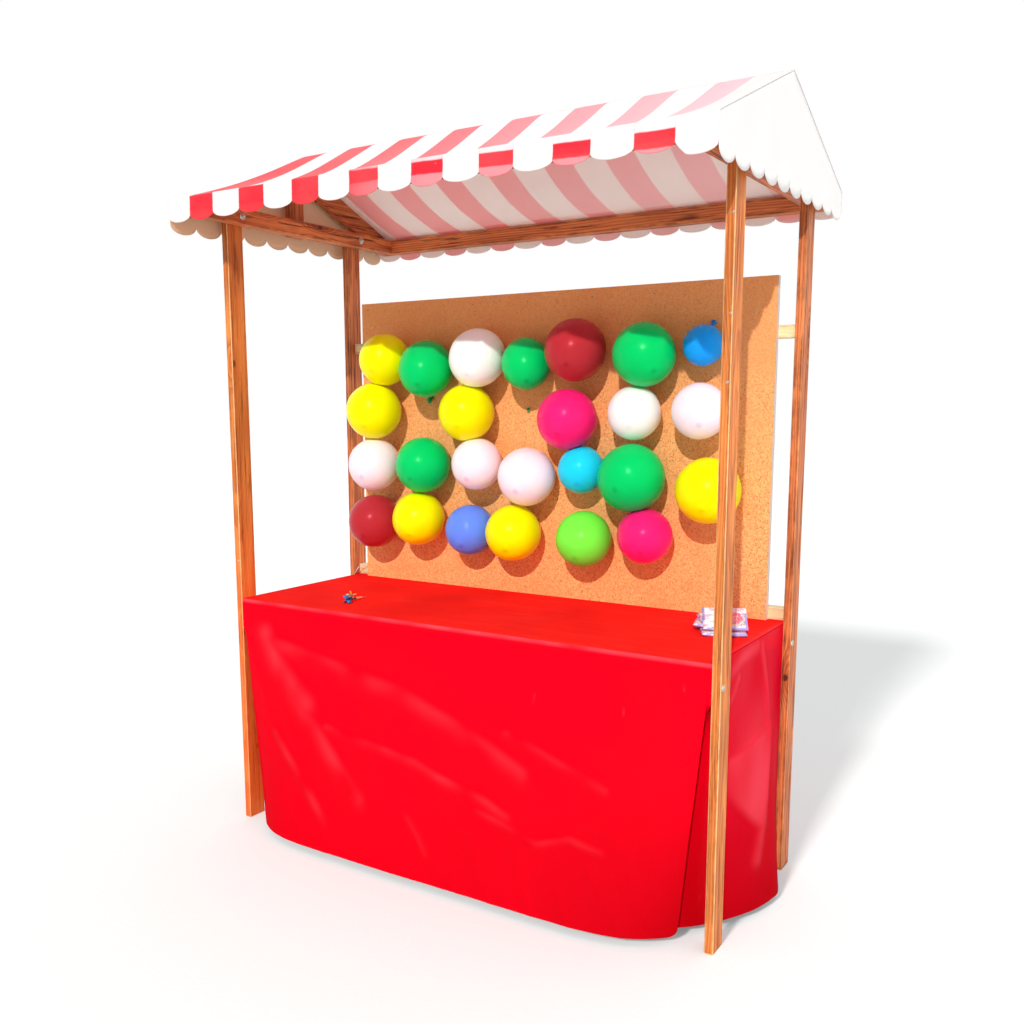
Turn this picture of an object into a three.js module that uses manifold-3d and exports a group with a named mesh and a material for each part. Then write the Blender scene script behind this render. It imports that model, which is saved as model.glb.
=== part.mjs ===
// Carnival game stall: a bolted timber frame with trussed gable ends, a scalloped fabric canopy,
// a counter under a loose cloth, and a cork target board pinned all over with balloons.
// Millimetres, +Z up. +X runs along the counter, +Y from the player's side to the back.
// The origin is on the ground at the middle of the stall.

import * as THREE from "three";
import { mergeVertices } from "three/addons/utils/BufferGeometryUtils.js";
import Module from "manifold-3d";

const wasm = await Module();
wasm.setup();

// ---------------------------------------------------------------- driving dimensions

const GAP = 0.3; // play between pieces that touch
const ARRIS = 2; // planed-off edge of every timber

const INNER_WIDTH = 2000; // clear width between the left and right posts
const FRAME_DEPTH = 776; // front face of the front posts to back face of the rear posts
const POST = { thickness: 30, width: 80 };
const BEAM = { thickness: 45, height: 60 }; // truss chords, eave beams and ridge beam
const TRUSS_BOTTOM = 2394; // underside of the chords above the ground
const EAVE_OVERHANG = 219.6; // outer face of the eave beams beyond the posts
const ROOF_RISE = 254; // top of the eave beams to the ridge line

const COUNTER_HEIGHT = 929.7; // top of the bare counter
const COUNTER_TOP = { depth: 770, thickness: 18 };
const COUNTER_BEARER = { thickness: 45, height: 90 };

const FABRIC = 4; // modelled thickness of canopy and counter cloth
const CLOTH_TOP = 3;
const HEM_HEIGHT = 30; // hem of the counter cloth above the ground
const FRONT_SKIRT = { halfWidth: 990, taper: 82, flare: 140 };
const SIDE_SKIRT = { halfWidth: 305, bulge: 98, tuck: 75 };

const CANOPY_HALF_WIDTH = 1060;
const STRIPES = 17; // one scallop under each stripe of the eave valances
const GABLE_SCALLOPS = 10;
const NOTCH_HEIGHT = 2384; // where two scallops meet
const SCALLOP_DROP = 26; // deepest point of a scallop below its notches

const BOARD = { left: -930, right: 934, height: 1213, thickness: 22, front: 318 };
const CORK = { thickness: 3, seamBottom: 289, seamTop: 344 };
const BATTEN = { thickness: 45, height: 45, upperBottom: 1934 };

// Derived places
const HALF_WIDTH = INNER_WIDTH / 2;
const POST_FRONT = FRAME_DEPTH / 2;
const EAVE_OUTER = POST_FRONT + EAVE_OVERHANG;
const EAVE_TOP = TRUSS_BOTTOM + BEAM.height;
const RIDGE_LINE = EAVE_TOP + ROOF_RISE;
const CHORD_HALF_LENGTH = EAVE_OUTER - BEAM.thickness - GAP;
const CLOTH_FACE = COUNTER_HEIGHT + GAP + CLOTH_TOP;

// ---------------------------------------------------------------- finishes

const finish = (color, roughness, metalness = 0) =>
  new THREE.MeshStandardMaterial({ color, roughness, metalness });

const STAINED_PINE = () => finish(0x9a4a28, 0.65);
const PALE_PINE = () => finish(0xf0dca8, 0.7);
const PLYWOOD = () => finish(0xc8a878, 0.75);
const WHITE_BOARD = () => finish(0xf2f0ea, 0.6);
const CORK_FACE = () => finish(0xd99a5c, 0.9);
const RED_CLOTH = () => finish(0xe00820, 0.35);
const CANOPY_STRIPE = () => finish(0xf04860, 0.5);
const CANOPY_WHITE = () => finish(0xf8f4f2, 0.5);
const PACKET_PAPER = () => finish(0xf2eef0, 0.55);
const LATEX = (color) => finish(color, 0.25);

// ---------------------------------------------------------------- shapes and placing

const X_AXIS = new THREE.Vector3(1, 0, 0);
const Y_AXIS = new THREE.Vector3(0, 1, 0);
const Z_AXIS = new THREE.Vector3(0, 0, 1);

const turnTo = (across, up, outward) =>
  new THREE.Quaternion().setFromRotationMatrix(new THREE.Matrix4().makeBasis(across, up, outward));

const SIDE_ON = turnTo(Y_AXIS, Z_AXIS, X_AXIS); // drawn in (y, z), thick along +x
const FACING = turnTo(X_AXIS, Z_AXIS, Y_AXIS.clone().negate()); // drawn in (x, z), thick along -y
const FLAT = new THREE.Quaternion(); // drawn in (x, y), thick along +z

function piece(name, geometry, material, position, turn = FLAT) {
  const mesh = new THREE.Mesh(geometry, material);
  mesh.name = name;
  mesh.position.set(...position);
  mesh.quaternion.copy(turn);
  return mesh;
}

function assembly(...members) {
  const group = new THREE.Group();
  group.add(...members);
  return group;
}

// A planed board: the outline is its face, and its edges are eased by a small arris.
function plank(outline, thickness, arris = ARRIS) {
  const shape = new THREE.Shape(outline.map(([a, b]) => new THREE.Vector2(a, b)));
  const geometry = new THREE.ExtrudeGeometry(shape, {
    depth: thickness - 2 * arris,
    bevelEnabled: arris > 0,
    bevelThickness: arris,
    bevelSize: arris,
    bevelOffset: -arris,
    bevelSegments: 1,
  });
  return geometry.translate(0, 0, arris);
}

function rectangle(left, bottom, right, top) {
  return [[left, bottom], [right, bottom], [right, top], [left, top]];
}

const sheetOf = (outline, thickness) => plank(outline, thickness, 0);

// ---------------------------------------------------------------- solids for cutting and joining

function toSolid(geometry) {
  const bare = geometry.clone();
  bare.deleteAttribute("normal");
  bare.deleteAttribute("uv");
  const merged = mergeVertices(bare);
  const corners = merged.index.array;
  const kept = [];
  for (let i = 0; i < corners.length; i += 3) {
    const [a, b, c] = corners.slice(i, i + 3);
    if (a !== b && b !== c && c !== a) {
      kept.push(a, b, c);
    }
  }
  return new wasm.Manifold(new wasm.Mesh({
    numProp: 3,
    vertProperties: new Float32Array(merged.attributes.position.array),
    triVerts: new Uint32Array(kept),
  }));
}

function toGeometry(solid) {
  const mesh = solid.getMesh();
  const geometry = new THREE.BufferGeometry();
  geometry.setAttribute("position", new THREE.BufferAttribute(mesh.vertProperties, 3));
  geometry.setIndex(new THREE.BufferAttribute(mesh.triVerts, 1));
  geometry.computeVertexNormals();
  return geometry;
}

const fuse = (geometries) => toGeometry(geometries.map(toSolid).reduce((a, b) => a.add(b)));

// ---------------------------------------------------------------- timber frame

// Height of the underside of the canopy above a place y of the roof.
const roofLine = (y) => RIDGE_LINE - (ROOF_RISE * Math.abs(y)) / EAVE_OUTER;

function makePost(name, side, end) {
  const outline = rectangle(-POST.width / 2, 0, POST.width / 2, EAVE_TOP);
  const x = side > 0 ? HALF_WIDTH : -HALF_WIDTH - POST.thickness;
  const y = end * (POST_FRONT - POST.width / 2);
  return piece(name, plank(outline, POST.thickness), STAINED_PINE(), [x, y, 0], SIDE_ON);
}

// One half of the roof pair: plumb cuts at the king post and the eave, and a level cut at the foot.
function rafterOutline(end) {
  const slope = Math.atan2(ROOF_RISE, EAVE_OUTER);
  const plumbWidth = POST.width / Math.cos(slope);
  const head = POST.width / 2 + GAP;
  const levelCut = ((RIDGE_LINE - plumbWidth - TRUSS_BOTTOM) * EAVE_OUTER) / ROOF_RISE;
  const outline = [
    [head, roofLine(head) - plumbWidth],
    [levelCut, TRUSS_BOTTOM],
    [EAVE_OUTER, TRUSS_BOTTOM],
    [EAVE_OUTER, EAVE_TOP],
    [head, roofLine(head)],
  ];
  return end > 0 ? outline : outline.map(([y, z]) => [-y, z]).reverse();
}

function makeTruss(sideName, side) {
  const lap = side > 0 ? HALF_WIDTH + GAP : -HALF_WIDTH - GAP - (POST.thickness - GAP);
  const chordX = side > 0 ? HALF_WIDTH - BEAM.thickness - GAP : -HALF_WIDTH + GAP;
  const outerLayer = (outline) => plank(outline, POST.thickness - GAP);
  const chord = rectangle(-CHORD_HALF_LENGTH, TRUSS_BOTTOM, CHORD_HALF_LENGTH, EAVE_TOP);
  const half = POST.width / 2;
  const kingPost = [
    [-half, TRUSS_BOTTOM],
    [half, TRUSS_BOTTOM],
    [half, roofLine(half)],
    [0, RIDGE_LINE],
    [-half, roofLine(half)],
  ];
  const wood = STAINED_PINE;
  return assembly(
    piece(`truss_chord_${sideName}`, plank(chord, BEAM.thickness), wood(), [chordX, 0, 0], SIDE_ON),
    piece(`king_post_${sideName}`, outerLayer(kingPost), wood(), [lap, 0, 0], SIDE_ON),
    piece(`rafter_front_${sideName}`, outerLayer(rafterOutline(-1)), wood(), [lap, 0, 0], SIDE_ON),
    piece(`rafter_rear_${sideName}`, outerLayer(rafterOutline(1)), wood(), [lap, 0, 0], SIDE_ON),
  );
}

function makeRoofBeams() {
  const eave = rectangle(-HALF_WIDTH, TRUSS_BOTTOM, HALF_WIDTH, EAVE_TOP);
  const half = BEAM.thickness / 2;
  const ridge = [
    [-half, RIDGE_LINE - BEAM.height],
    [half, RIDGE_LINE - BEAM.height],
    [half, roofLine(half)],
    [0, RIDGE_LINE],
    [-half, roofLine(half)],
  ];
  const beam = () => plank(eave, BEAM.thickness);
  const wood = STAINED_PINE;
  const ridgeBeam = plank(ridge, INNER_WIDTH);
  return assembly(
    piece("eave_beam_front", beam(), wood(), [0, -EAVE_OUTER + BEAM.thickness, 0], FACING),
    piece("eave_beam_rear", beam(), wood(), [0, EAVE_OUTER, 0], FACING),
    piece("ridge_beam", ridgeBeam, wood(), [-HALF_WIDTH, 0, 0], SIDE_ON),
  );
}

function makeFrame() {
  return assembly(
    makePost("post_front_left", -1, -1),
    makePost("post_front_right", 1, -1),
    makePost("post_rear_left", -1, 1),
    makePost("post_rear_right", 1, 1),
    makeTruss("left", -1),
    makeTruss("right", 1),
    makeRoofBeams(),
  );
}

// ---------------------------------------------------------------- counter

function makeCounter() {
  const halfDepth = COUNTER_TOP.depth / 2;
  const underside = COUNTER_HEIGHT - COUNTER_TOP.thickness;
  const bearerTop = underside - GAP;
  const inner = HALF_WIDTH - GAP;
  const railEnd = inner - COUNTER_BEARER.thickness - GAP;
  const bearer = rectangle(-halfDepth, bearerTop - COUNTER_BEARER.height, halfDepth, bearerTop);
  const rail = rectangle(-railEnd, bearerTop - BEAM.height, railEnd, bearerTop);
  const top = plank(rectangle(-inner, -halfDepth, inner, halfDepth), COUNTER_TOP.thickness, 1);
  const makeBearer = (name, x) =>
    piece(name, plank(bearer, COUNTER_BEARER.thickness), STAINED_PINE(), [x, 0, 0], SIDE_ON);
  const makeRail = (name, y) =>
    piece(name, plank(rail, BEAM.thickness), STAINED_PINE(), [0, y, 0], FACING);
  return assembly(
    piece("counter_top", top, PLYWOOD(), [0, 0, underside]),
    makeBearer("counter_bearer_left", -inner),
    makeBearer("counter_bearer_right", inner - COUNTER_BEARER.thickness),
    makeRail("counter_rail_front", -halfDepth + BEAM.thickness),
    makeRail("counter_rail_rear", halfDepth),
  );
}

// ---------------------------------------------------------------- counter cloth

// A hanging panel of cloth as one closed sheet. place(u, v) gives [along, out] in mm, with u from
// -1 to 1 along the panel and v from 0 at the counter's edge to 1 at the hem.
function hangingPanel(place, columns, rows) {
  const top = COUNTER_HEIGHT;
  const drop = top - HEM_HEIGHT;
  const positions = [];
  for (const layer of [0, FABRIC]) {
    for (let row = 0; row <= rows; row += 1) {
      for (let column = 0; column <= columns; column += 1) {
        const [along, out] = place((2 * column) / columns - 1, row / rows);
        positions.push(along, -out - layer, top - (drop * row) / rows);
      }
    }
  }
  const stride = columns + 1;
  const layerSize = stride * (rows + 1);
  const corners = [];
  const quad = (a, b, c, d) => corners.push(a, b, c, a, c, d);
  for (let row = 0; row < rows; row += 1) {
    for (let column = 0; column < columns; column += 1) {
      const a = row * stride + column;
      const outer = a + layerSize;
      quad(a, a + 1, a + stride + 1, a + stride);
      quad(outer, outer + stride, outer + stride + 1, outer + 1);
    }
  }
  for (let column = 0; column < columns; column += 1) {
    const hem = rows * stride + column;
    quad(column, column + layerSize, column + 1 + layerSize, column + 1);
    quad(hem, hem + 1, hem + 1 + layerSize, hem + layerSize);
  }
  for (let row = 0; row < rows; row += 1) {
    const left = row * stride;
    const right = left + columns;
    quad(left, left + stride, left + stride + layerSize, left + layerSize);
    quad(right, right + layerSize, right + stride + layerSize, right + stride);
  }
  const geometry = new THREE.BufferGeometry();
  geometry.setAttribute("position", new THREE.Float32BufferAttribute(positions, 3));
  geometry.setIndex(corners);
  geometry.computeVertexNormals();
  return geometry;
}

// Front and back: wide panels that narrow and swing outwards towards the hem.
function longSkirt(u, v) {
  const along = u * (FRONT_SKIRT.halfWidth - FRONT_SKIRT.taper * v);
  const flare = FRONT_SKIRT.flare * v * (1 - u ** 8);
  return [along, COUNTER_TOP.depth / 2 + GAP + flare];
}

// Ends: panels between the posts that bulge out in the middle and tuck in behind the posts.
function endSkirt(u, v) {
  const below = Math.max(0, (v - 0.15) / 0.85);
  const swing = below * (SIDE_SKIRT.bulge - (SIDE_SKIRT.bulge + SIDE_SKIRT.tuck) * u * u);
  return [u * SIDE_SKIRT.halfWidth, HALF_WIDTH + GAP + swing];
}

function makeCounterCloth() {
  const halfDepth = COUNTER_TOP.depth / 2;
  const inner = HALF_WIDTH - GAP;
  const top = plank(rectangle(-inner, -halfDepth, inner, halfDepth), CLOTH_TOP, 0);
  const quarterTurn = (count) =>
    new THREE.Quaternion().setFromAxisAngle(Z_AXIS, (count * Math.PI) / 2);
  const long = () => hangingPanel(longSkirt, 20, 6);
  const end = () => hangingPanel(endSkirt, 12, 8);
  const middle = [0, 0, 0];
  return assembly(
    piece("cloth_top", top, RED_CLOTH(), [0, 0, COUNTER_HEIGHT + GAP]),
    piece("cloth_front", long(), RED_CLOTH(), middle),
    piece("cloth_rear", long(), RED_CLOTH(), middle, quarterTurn(2)),
    piece("cloth_left", end(), RED_CLOTH(), middle, quarterTurn(3)),
    piece("cloth_right", end(), RED_CLOTH(), middle, quarterTurn(1)),
  );
}

// ---------------------------------------------------------------- canopy

// The hem of a valance from right to left, as a row of round scallops below their notches.
function scallopedHem(halfWidth, scallops, steps = 6) {
  const pitch = (2 * halfWidth) / scallops;
  const points = [];
  for (let i = 0; i < scallops * steps; i += 1) {
    const phase = (i % steps) / steps;
    const drop = SCALLOP_DROP * Math.sqrt(1 - (2 * phase - 1) ** 2);
    points.push([halfWidth - (pitch * i) / steps, NOTCH_HEIGHT - drop]);
  }
  points.push([-halfWidth, NOTCH_HEIGHT]);
  return points;
}

function makeCanopy() {
  const under = (y) => roofLine(y) + GAP;
  const over = (y) => under(y) + FABRIC;
  const eaveLine = EAVE_OUTER + GAP;
  const nearRidge = GAP / 2;
  const slope = [
    [nearRidge, under(nearRidge)],
    [EAVE_OUTER, under(EAVE_OUTER)],
    [EAVE_OUTER, over(EAVE_OUTER)],
    [nearRidge, over(nearRidge)],
  ];
  const mirrored = slope.map(([y, z]) => [-y, z]).reverse();
  const valance = [
    ...scallopedHem(CANOPY_HALF_WIDTH, STRIPES),
    [-CANOPY_HALF_WIDTH, over(EAVE_OUTER)],
    [CANOPY_HALF_WIDTH, over(EAVE_OUTER)],
  ];
  const gable = [
    ...scallopedHem(EAVE_OUTER, GABLE_SCALLOPS),
    [-EAVE_OUTER, roofLine(EAVE_OUTER)],
    [0, RIDGE_LINE],
    [EAVE_OUTER, roofLine(EAVE_OUTER)],
  ];
  const roofStart = [-CANOPY_HALF_WIDTH, 0, 0];
  const gableX = CANOPY_HALF_WIDTH - FABRIC;
  const roof = (outline) => sheetOf(outline, 2 * CANOPY_HALF_WIDTH);
  const edge = (outline) => sheetOf(outline, FABRIC);
  return assembly(
    piece("canopy_slope_front", roof(mirrored), CANOPY_STRIPE(), roofStart, SIDE_ON),
    piece("canopy_slope_rear", roof(slope), CANOPY_STRIPE(), roofStart, SIDE_ON),
    piece("valance_front", edge(valance), CANOPY_STRIPE(), [0, -eaveLine, 0], FACING),
    piece("valance_rear", edge(valance), CANOPY_STRIPE(), [0, eaveLine + FABRIC, 0], FACING),
    piece("gable_cloth_left", edge(gable), CANOPY_WHITE(), [-CANOPY_HALF_WIDTH, 0, 0], SIDE_ON),
    piece("gable_cloth_right", edge(gable), CANOPY_WHITE(), [gableX, 0, 0], SIDE_ON),
  );
}

// ---------------------------------------------------------------- target board

function makeTargetBoard() {
  const bottom = CLOTH_FACE + GAP;
  const top = bottom + BOARD.height;
  const { left, right } = BOARD;
  const backing = rectangle(left, bottom, right, top);
  const leftCork = [
    [left, bottom],
    [CORK.seamBottom, bottom],
    [CORK.seamTop, top],
    [left, top],
  ];
  const rightCork = [
    [CORK.seamBottom + GAP, bottom],
    [right, bottom],
    [right, top],
    [CORK.seamTop + GAP, top],
  ];
  const inner = HALF_WIDTH - GAP;
  const batten = (lower) => rectangle(-inner, lower, inner, lower + BATTEN.height);
  const boardBack = BOARD.front + BOARD.thickness;
  const corkBack = BOARD.front - GAP;
  const battenBack = boardBack + GAP + BATTEN.thickness;
  const strip = (lower) => plank(batten(lower), BATTEN.thickness);
  return assembly(
    piece("backing_board", sheetOf(backing, BOARD.thickness), WHITE_BOARD(), [0, boardBack, 0], FACING),
    piece("cork_sheet_left", sheetOf(leftCork, CORK.thickness), CORK_FACE(), [0, corkBack, 0], FACING),
    piece("cork_sheet_right", sheetOf(rightCork, CORK.thickness), CORK_FACE(), [0, corkBack, 0], FACING),
    piece("batten_upper", strip(BATTEN.upperBottom), PALE_PINE(), [0, battenBack, 0], FACING),
    piece("batten_lower", strip(bottom), PALE_PINE(), [0, battenBack, 0], FACING),
  );
}

// ---------------------------------------------------------------- balloons

const BALLOON = { neckLength: 9, neckRadius: 7, stretch: 1.06, segments: 16, rings: 10 };

const YELLOW = 0xffe600;
const GREEN = 0x109a48;
const WHITE = 0xf8f8f8;
const MAROON = 0x7a1c26;
const BLUE = 0x2f8fe8;
const ROYAL = 0x3c5fd8;
const SKY = 0x35b4ee;
const MAGENTA = 0xe8105c;
const PINK = 0xf6c3dc;
const LIME = 0x86d02c;

// Balloons that press on each other share a node. Each one is [x, z, radius, colour].
const BALLOON_GROUPS = {
  balloons_far_left: [
    [-742, 1893, 103, YELLOW],
    [-781, 1684, 118, YELLOW],
    [-778, 1457, 115, PINK],
  ],
  balloon_green_upper_left: [[-496, 1856, 112, GREEN]],
  balloons_upper_middle: [
    [-235, 1892, 117, WHITE],
    [-24, 1873, 102, GREEN],
    [-290, 1676, 114, YELLOW],
    [-261, 1468, 108, PINK],
  ],
  balloon_maroon_upper: [[205, 1914, 115, MAROON]],
  balloons_right_column: [
    [485, 1885, 117, GREEN],
    [442, 1675, 104, WHITE],
    [455, 1448, 130, GREEN],
    [502, 1228, 104, MAGENTA],
  ],
  balloon_blue_small: [[693, 1916, 69, BLUE]],
  balloon_pink_right: [[691, 1692, 101, PINK]],
  balloons_magenta_and_sky: [
    [182, 1656, 116, MAGENTA],
    [217, 1464, 92, SKY],
  ],
  balloons_left_pair: [
    [-518, 1458, 116, GREEN],
    [-536, 1235, 114, YELLOW],
  ],
  balloons_low_middle: [
    [-10, 1424, 118, PINK],
    [-63, 1204, 115, YELLOW],
  ],
  balloon_yellow_right: [[752, 1408, 118, YELLOW]],
  balloon_maroon_low: [[-785, 1207, 110, MAROON]],
  balloon_royal_blue: [[-294, 1196, 98, ROYAL]],
  balloon_lime: [[249, 1196, 108, LIME]],
};

// One blown-up balloon on its neck: pear-shaped towards the neck, which meets the cork.
function balloonShape(x, z, radius) {
  const { neckLength, neckRadius, stretch, segments, rings } = BALLOON;
  const centre = neckLength + radius * stretch;
  const profile = [new THREE.Vector2(0, 0), new THREE.Vector2(neckRadius, 0)];
  for (let ring = 1; ring < rings; ring += 1) {
    const angle = (Math.PI * ring) / rings;
    const pear = 1 - 0.12 * Math.max(0, Math.cos(angle));
    const along = centre - radius * stretch * Math.cos(angle);
    profile.push(new THREE.Vector2(radius * Math.sin(angle) * pear, along));
  }
  profile.push(new THREE.Vector2(0, centre + radius * stretch));
  const geometry = new THREE.LatheGeometry(profile, segments);
  const corkFace = BOARD.front - GAP - CORK.thickness;
  return geometry.rotateX(Math.PI).translate(x, corkFace - GAP, z);
}

function makeBalloons() {
  const pieces = Object.entries(BALLOON_GROUPS).map(([name, members]) => {
    const shapes = members.map(([x, z, radius]) => balloonShape(x, z, radius));
    return piece(name, fuse(shapes), LATEX(members[0][3]), [0, 0, 0]);
  });
  return assembly(...pieces);
}

// ---------------------------------------------------------------- things lying on the counter

const DART = { point: 34, barrel: 46, shaft: 24, flight: 27, barrelRadius: 4.5, finReach: 15 };
const DART_LENGTH = DART.point + DART.barrel + DART.shaft + DART.flight;
const DART_SHOULDER = DART.point + 12; // where the barrel reaches its full thickness
const FIN_FRONT = DART_LENGTH - DART.flight + 8; // where the fins reach their full span
const FIN_THICKNESS = 1;

function dartShape() {
  const { point, barrel, flight, barrelRadius, finReach } = DART;
  const profile = [
    [0, 0],
    [1.1, 9],
    [1.1, point],
    [3.4, point + 3],
    [barrelRadius, DART_SHOULDER],
    [barrelRadius, point + barrel - 6],
    [2.2, point + barrel],
    [2.2, DART_LENGTH],
    [0, DART_LENGTH],
  ].map(([r, along]) => new THREE.Vector2(r, along));
  const body = new THREE.LatheGeometry(profile, 10);
  const fin = [
    [-finReach, FIN_FRONT],
    [0, DART_LENGTH - flight - 2],
    [finReach, FIN_FRONT],
    [finReach, DART_LENGTH + 3],
    [0, DART_LENGTH - 4],
    [-finReach, DART_LENGTH + 3],
  ];
  const fins = [0, 1].map((turn) =>
    sheetOf(fin, FIN_THICKNESS)
      .translate(0, 0, -FIN_THICKNESS / 2)
      .rotateY(Math.PI / 4 + (turn * Math.PI) / 2));
  return fuse([body, ...fins]);
}

// Lays a dart on the cloth, resting on the shoulder of its barrel and on two of its fins.
function layDart(name, color, x, y, heading) {
  const finDrop = (DART.finReach + FIN_THICKNESS / 2) * Math.SQRT1_2;
  const pitch = Math.asin((finDrop - DART.barrelRadius) / (FIN_FRONT - DART_SHOULDER));
  const axisHeight = DART.barrelRadius - DART_SHOULDER * Math.sin(pitch) + GAP;
  const lay = new THREE.Group();
  lay.position.set(x, y, CLOTH_FACE + GAP + axisHeight);
  lay.rotation.z = heading;
  const dart = piece(name, dartShape(), finish(color, 0.4), [0, 0, 0]);
  dart.rotation.x = pitch;
  lay.add(dart);
  return lay;
}

const PACKET = { length: 160, width: 112, thickness: 11, sink: 0.2 };
const PACKET_TURNS = [10, 6, 15, 22, 30]; // degrees, from the bottom packet up
const PACKET_DRIFT = { x: -4, y: 14 }; // how far each packet lies off the one below

// A pile of flat gift packets, each turned and pushed back a little on the one below.
function makePackets() {
  const { length, width, thickness, sink } = PACKET;
  const outline = rectangle(-length / 2, -width / 2, length / 2, width / 2);
  const packets = PACKET_TURNS.map((turn, level) =>
    plank(outline, thickness, 1.5)
      .rotateZ(THREE.MathUtils.degToRad(turn))
      .translate(level * PACKET_DRIFT.x, level * PACKET_DRIFT.y, level * (thickness - sink)));
  return piece("prize_packets", fuse(packets), PACKET_PAPER(), [868, 43, CLOTH_FACE + GAP]);
}

function makeCounterThings() {
  const degrees = THREE.MathUtils.degToRad;
  return assembly(
    layDart("dart_blue", 0x2468d8, -576, -100, degrees(184)),
    layDart("dart_yellow", 0xffd010, -642, -52, degrees(198)),
    makePackets(),
  );
}

// ---------------------------------------------------------------- the stall

const stall = assembly(
  makeFrame(),
  makeCounter(),
  makeCounterCloth(),
  makeCanopy(),
  makeTargetBoard(),
  makeBalloons(),
  makeCounterThings(),
);

export default stall;
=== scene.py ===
"""The looks of a carnival game stall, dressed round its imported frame.

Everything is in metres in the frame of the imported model: +X along the counter, +Y from the
player's side to the back, +Z up, and the origin on the ground at the middle of the stall.
"""

import logging
import math
import random
from collections.abc import Iterable, Sequence
from dataclasses import dataclass, replace
from enum import Enum
from functools import reduce
from typing import TypeAlias

import bmesh
import bpy
from mathutils import Matrix, Quaternion, Vector, noise


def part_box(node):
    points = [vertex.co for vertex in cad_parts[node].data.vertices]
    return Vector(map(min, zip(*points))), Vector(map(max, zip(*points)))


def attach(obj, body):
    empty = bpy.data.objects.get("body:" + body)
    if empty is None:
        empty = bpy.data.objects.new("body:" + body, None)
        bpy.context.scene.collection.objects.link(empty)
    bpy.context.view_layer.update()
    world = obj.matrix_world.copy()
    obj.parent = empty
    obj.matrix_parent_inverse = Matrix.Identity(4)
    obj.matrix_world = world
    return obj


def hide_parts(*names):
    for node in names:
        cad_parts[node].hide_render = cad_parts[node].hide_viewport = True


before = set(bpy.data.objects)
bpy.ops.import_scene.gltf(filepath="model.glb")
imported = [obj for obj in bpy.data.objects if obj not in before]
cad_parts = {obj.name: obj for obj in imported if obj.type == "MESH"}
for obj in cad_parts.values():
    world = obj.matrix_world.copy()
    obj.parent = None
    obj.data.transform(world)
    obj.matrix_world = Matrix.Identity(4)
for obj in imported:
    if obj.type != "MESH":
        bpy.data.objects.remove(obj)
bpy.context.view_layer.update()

LOG = logging.getLogger("stall")

Colour: TypeAlias = tuple[float, float, float]
Point: TypeAlias = tuple[float, float, float]
Socket: TypeAlias = bpy.types.NodeSocket
Sockets: TypeAlias = bpy.types.bpy_prop_collection
Piece: TypeAlias = bpy.types.Object
Material: TypeAlias = bpy.types.Material
Number: TypeAlias = "Socket | float"
Triple: TypeAlias = "Socket | Sequence[float]"

TOUCH = 0.0003  # play that the frame keeps between pieces that touch
SIDES = ((-1, "left"), (1, "right"))


# ---------------- meshes


def clamped(value: float, low: float = 0.0, high: float = 1.0) -> float:
    """The value, kept between two limits."""
    return min(high, max(low, value))


def uneven(x: float, y: float, z: float) -> float:
    """Smooth unevenness at a place, between -1 and 1."""
    return noise.noise(Vector((x, y, z)))


def eased(value: float) -> float:
    """A share from 0 to 1 with a soft start and end."""
    return value * value * (3 - 2 * value)


def mesh_piece(name: str, points: Iterable[Sequence[float]], faces: Iterable[Sequence[int]],
               smooth: bool = True) -> Piece:
    """Makes an object from points and faces.

    Args:
        name: Name of the piece.
        points: Places of the vertices, in metres.
        faces: Vertex numbers of each face, anticlockwise from outside.
        smooth: Whether the faces are shaded smooth.

    Returns:
        The new object, linked to the scene.
    """
    mesh = bpy.data.meshes.new(name)
    mesh.from_pydata([tuple(p) for p in points], [], [tuple(f) for f in faces])
    mesh.validate()
    for polygon in mesh.polygons:
        polygon.use_smooth = smooth
    piece = bpy.data.objects.new(name, mesh)
    bpy.context.scene.collection.objects.link(piece)
    return piece


def grid_faces(columns: int, rows: int, first: int = 0, closed: bool = False, flip: bool = False) -> list[
        tuple[int, ...]]:
    """Lists the quads of a grid of points that is stored row by row.

    Args:
        columns: Points in a row.
        rows: Rows of points.
        first: Number of the grid's first point.
        closed: Whether each row closes on itself.
        flip: Whether the quads look the other way.

    Returns:
        The quads as tuples of four vertex numbers.
    """
    faces = []
    for row in range(rows - 1):
        for column in range(columns if closed else columns - 1):
            a = first + row * columns + column
            b = first + row * columns + (column + 1) % columns
            quad = (a, b, b + columns, a + columns)
            faces.append(quad[::-1] if flip else quad)
    return faces


def by_rows(strips: Sequence[Sequence[Vector]]) -> list[Vector]:
    """Lists the points of strips that lie side by side, row by row across them."""
    return [strip[row] for row in range(len(strips[0])) for strip in strips]


def ring(radius: float, height: float, count: int) -> list[Vector]:
    """Points evenly round a circle about the Z axis."""
    turns = [math.tau * step / count for step in range(count)]
    return [Vector((radius * math.cos(turn), radius * math.sin(turn), height)) for turn in turns]


def scallop(turn: float) -> tuple[float, float]:
    """Place across a scallop, from 0 to 1, and share of its drop, at an angle from 0 to pi."""
    share = 0.5 - 0.5 * math.cos(turn)
    return share, math.sqrt(max(0.0, 1 - (2 * share - 1) ** 2))


def solidify(piece: Piece, thickness: float, inner_slot: int = 0) -> None:
    """Gives a sheet a real thickness on the side that its faces turn away from.

    Args:
        piece: A sheet of single faces.
        thickness: Thickness in metres.
        inner_slot: How many material slots further the inner face's finish lies.
    """
    modifier = piece.modifiers.new("thickness", "SOLIDIFY")
    modifier.thickness = thickness
    modifier.offset = -1.0
    modifier.use_even_offset = False
    modifier.material_offset = inner_slot
    evaluated = piece.evaluated_get(bpy.context.evaluated_depsgraph_get())
    made = bpy.data.meshes.new_from_object(evaluated)
    piece.modifiers.clear()
    piece.data = made


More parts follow.
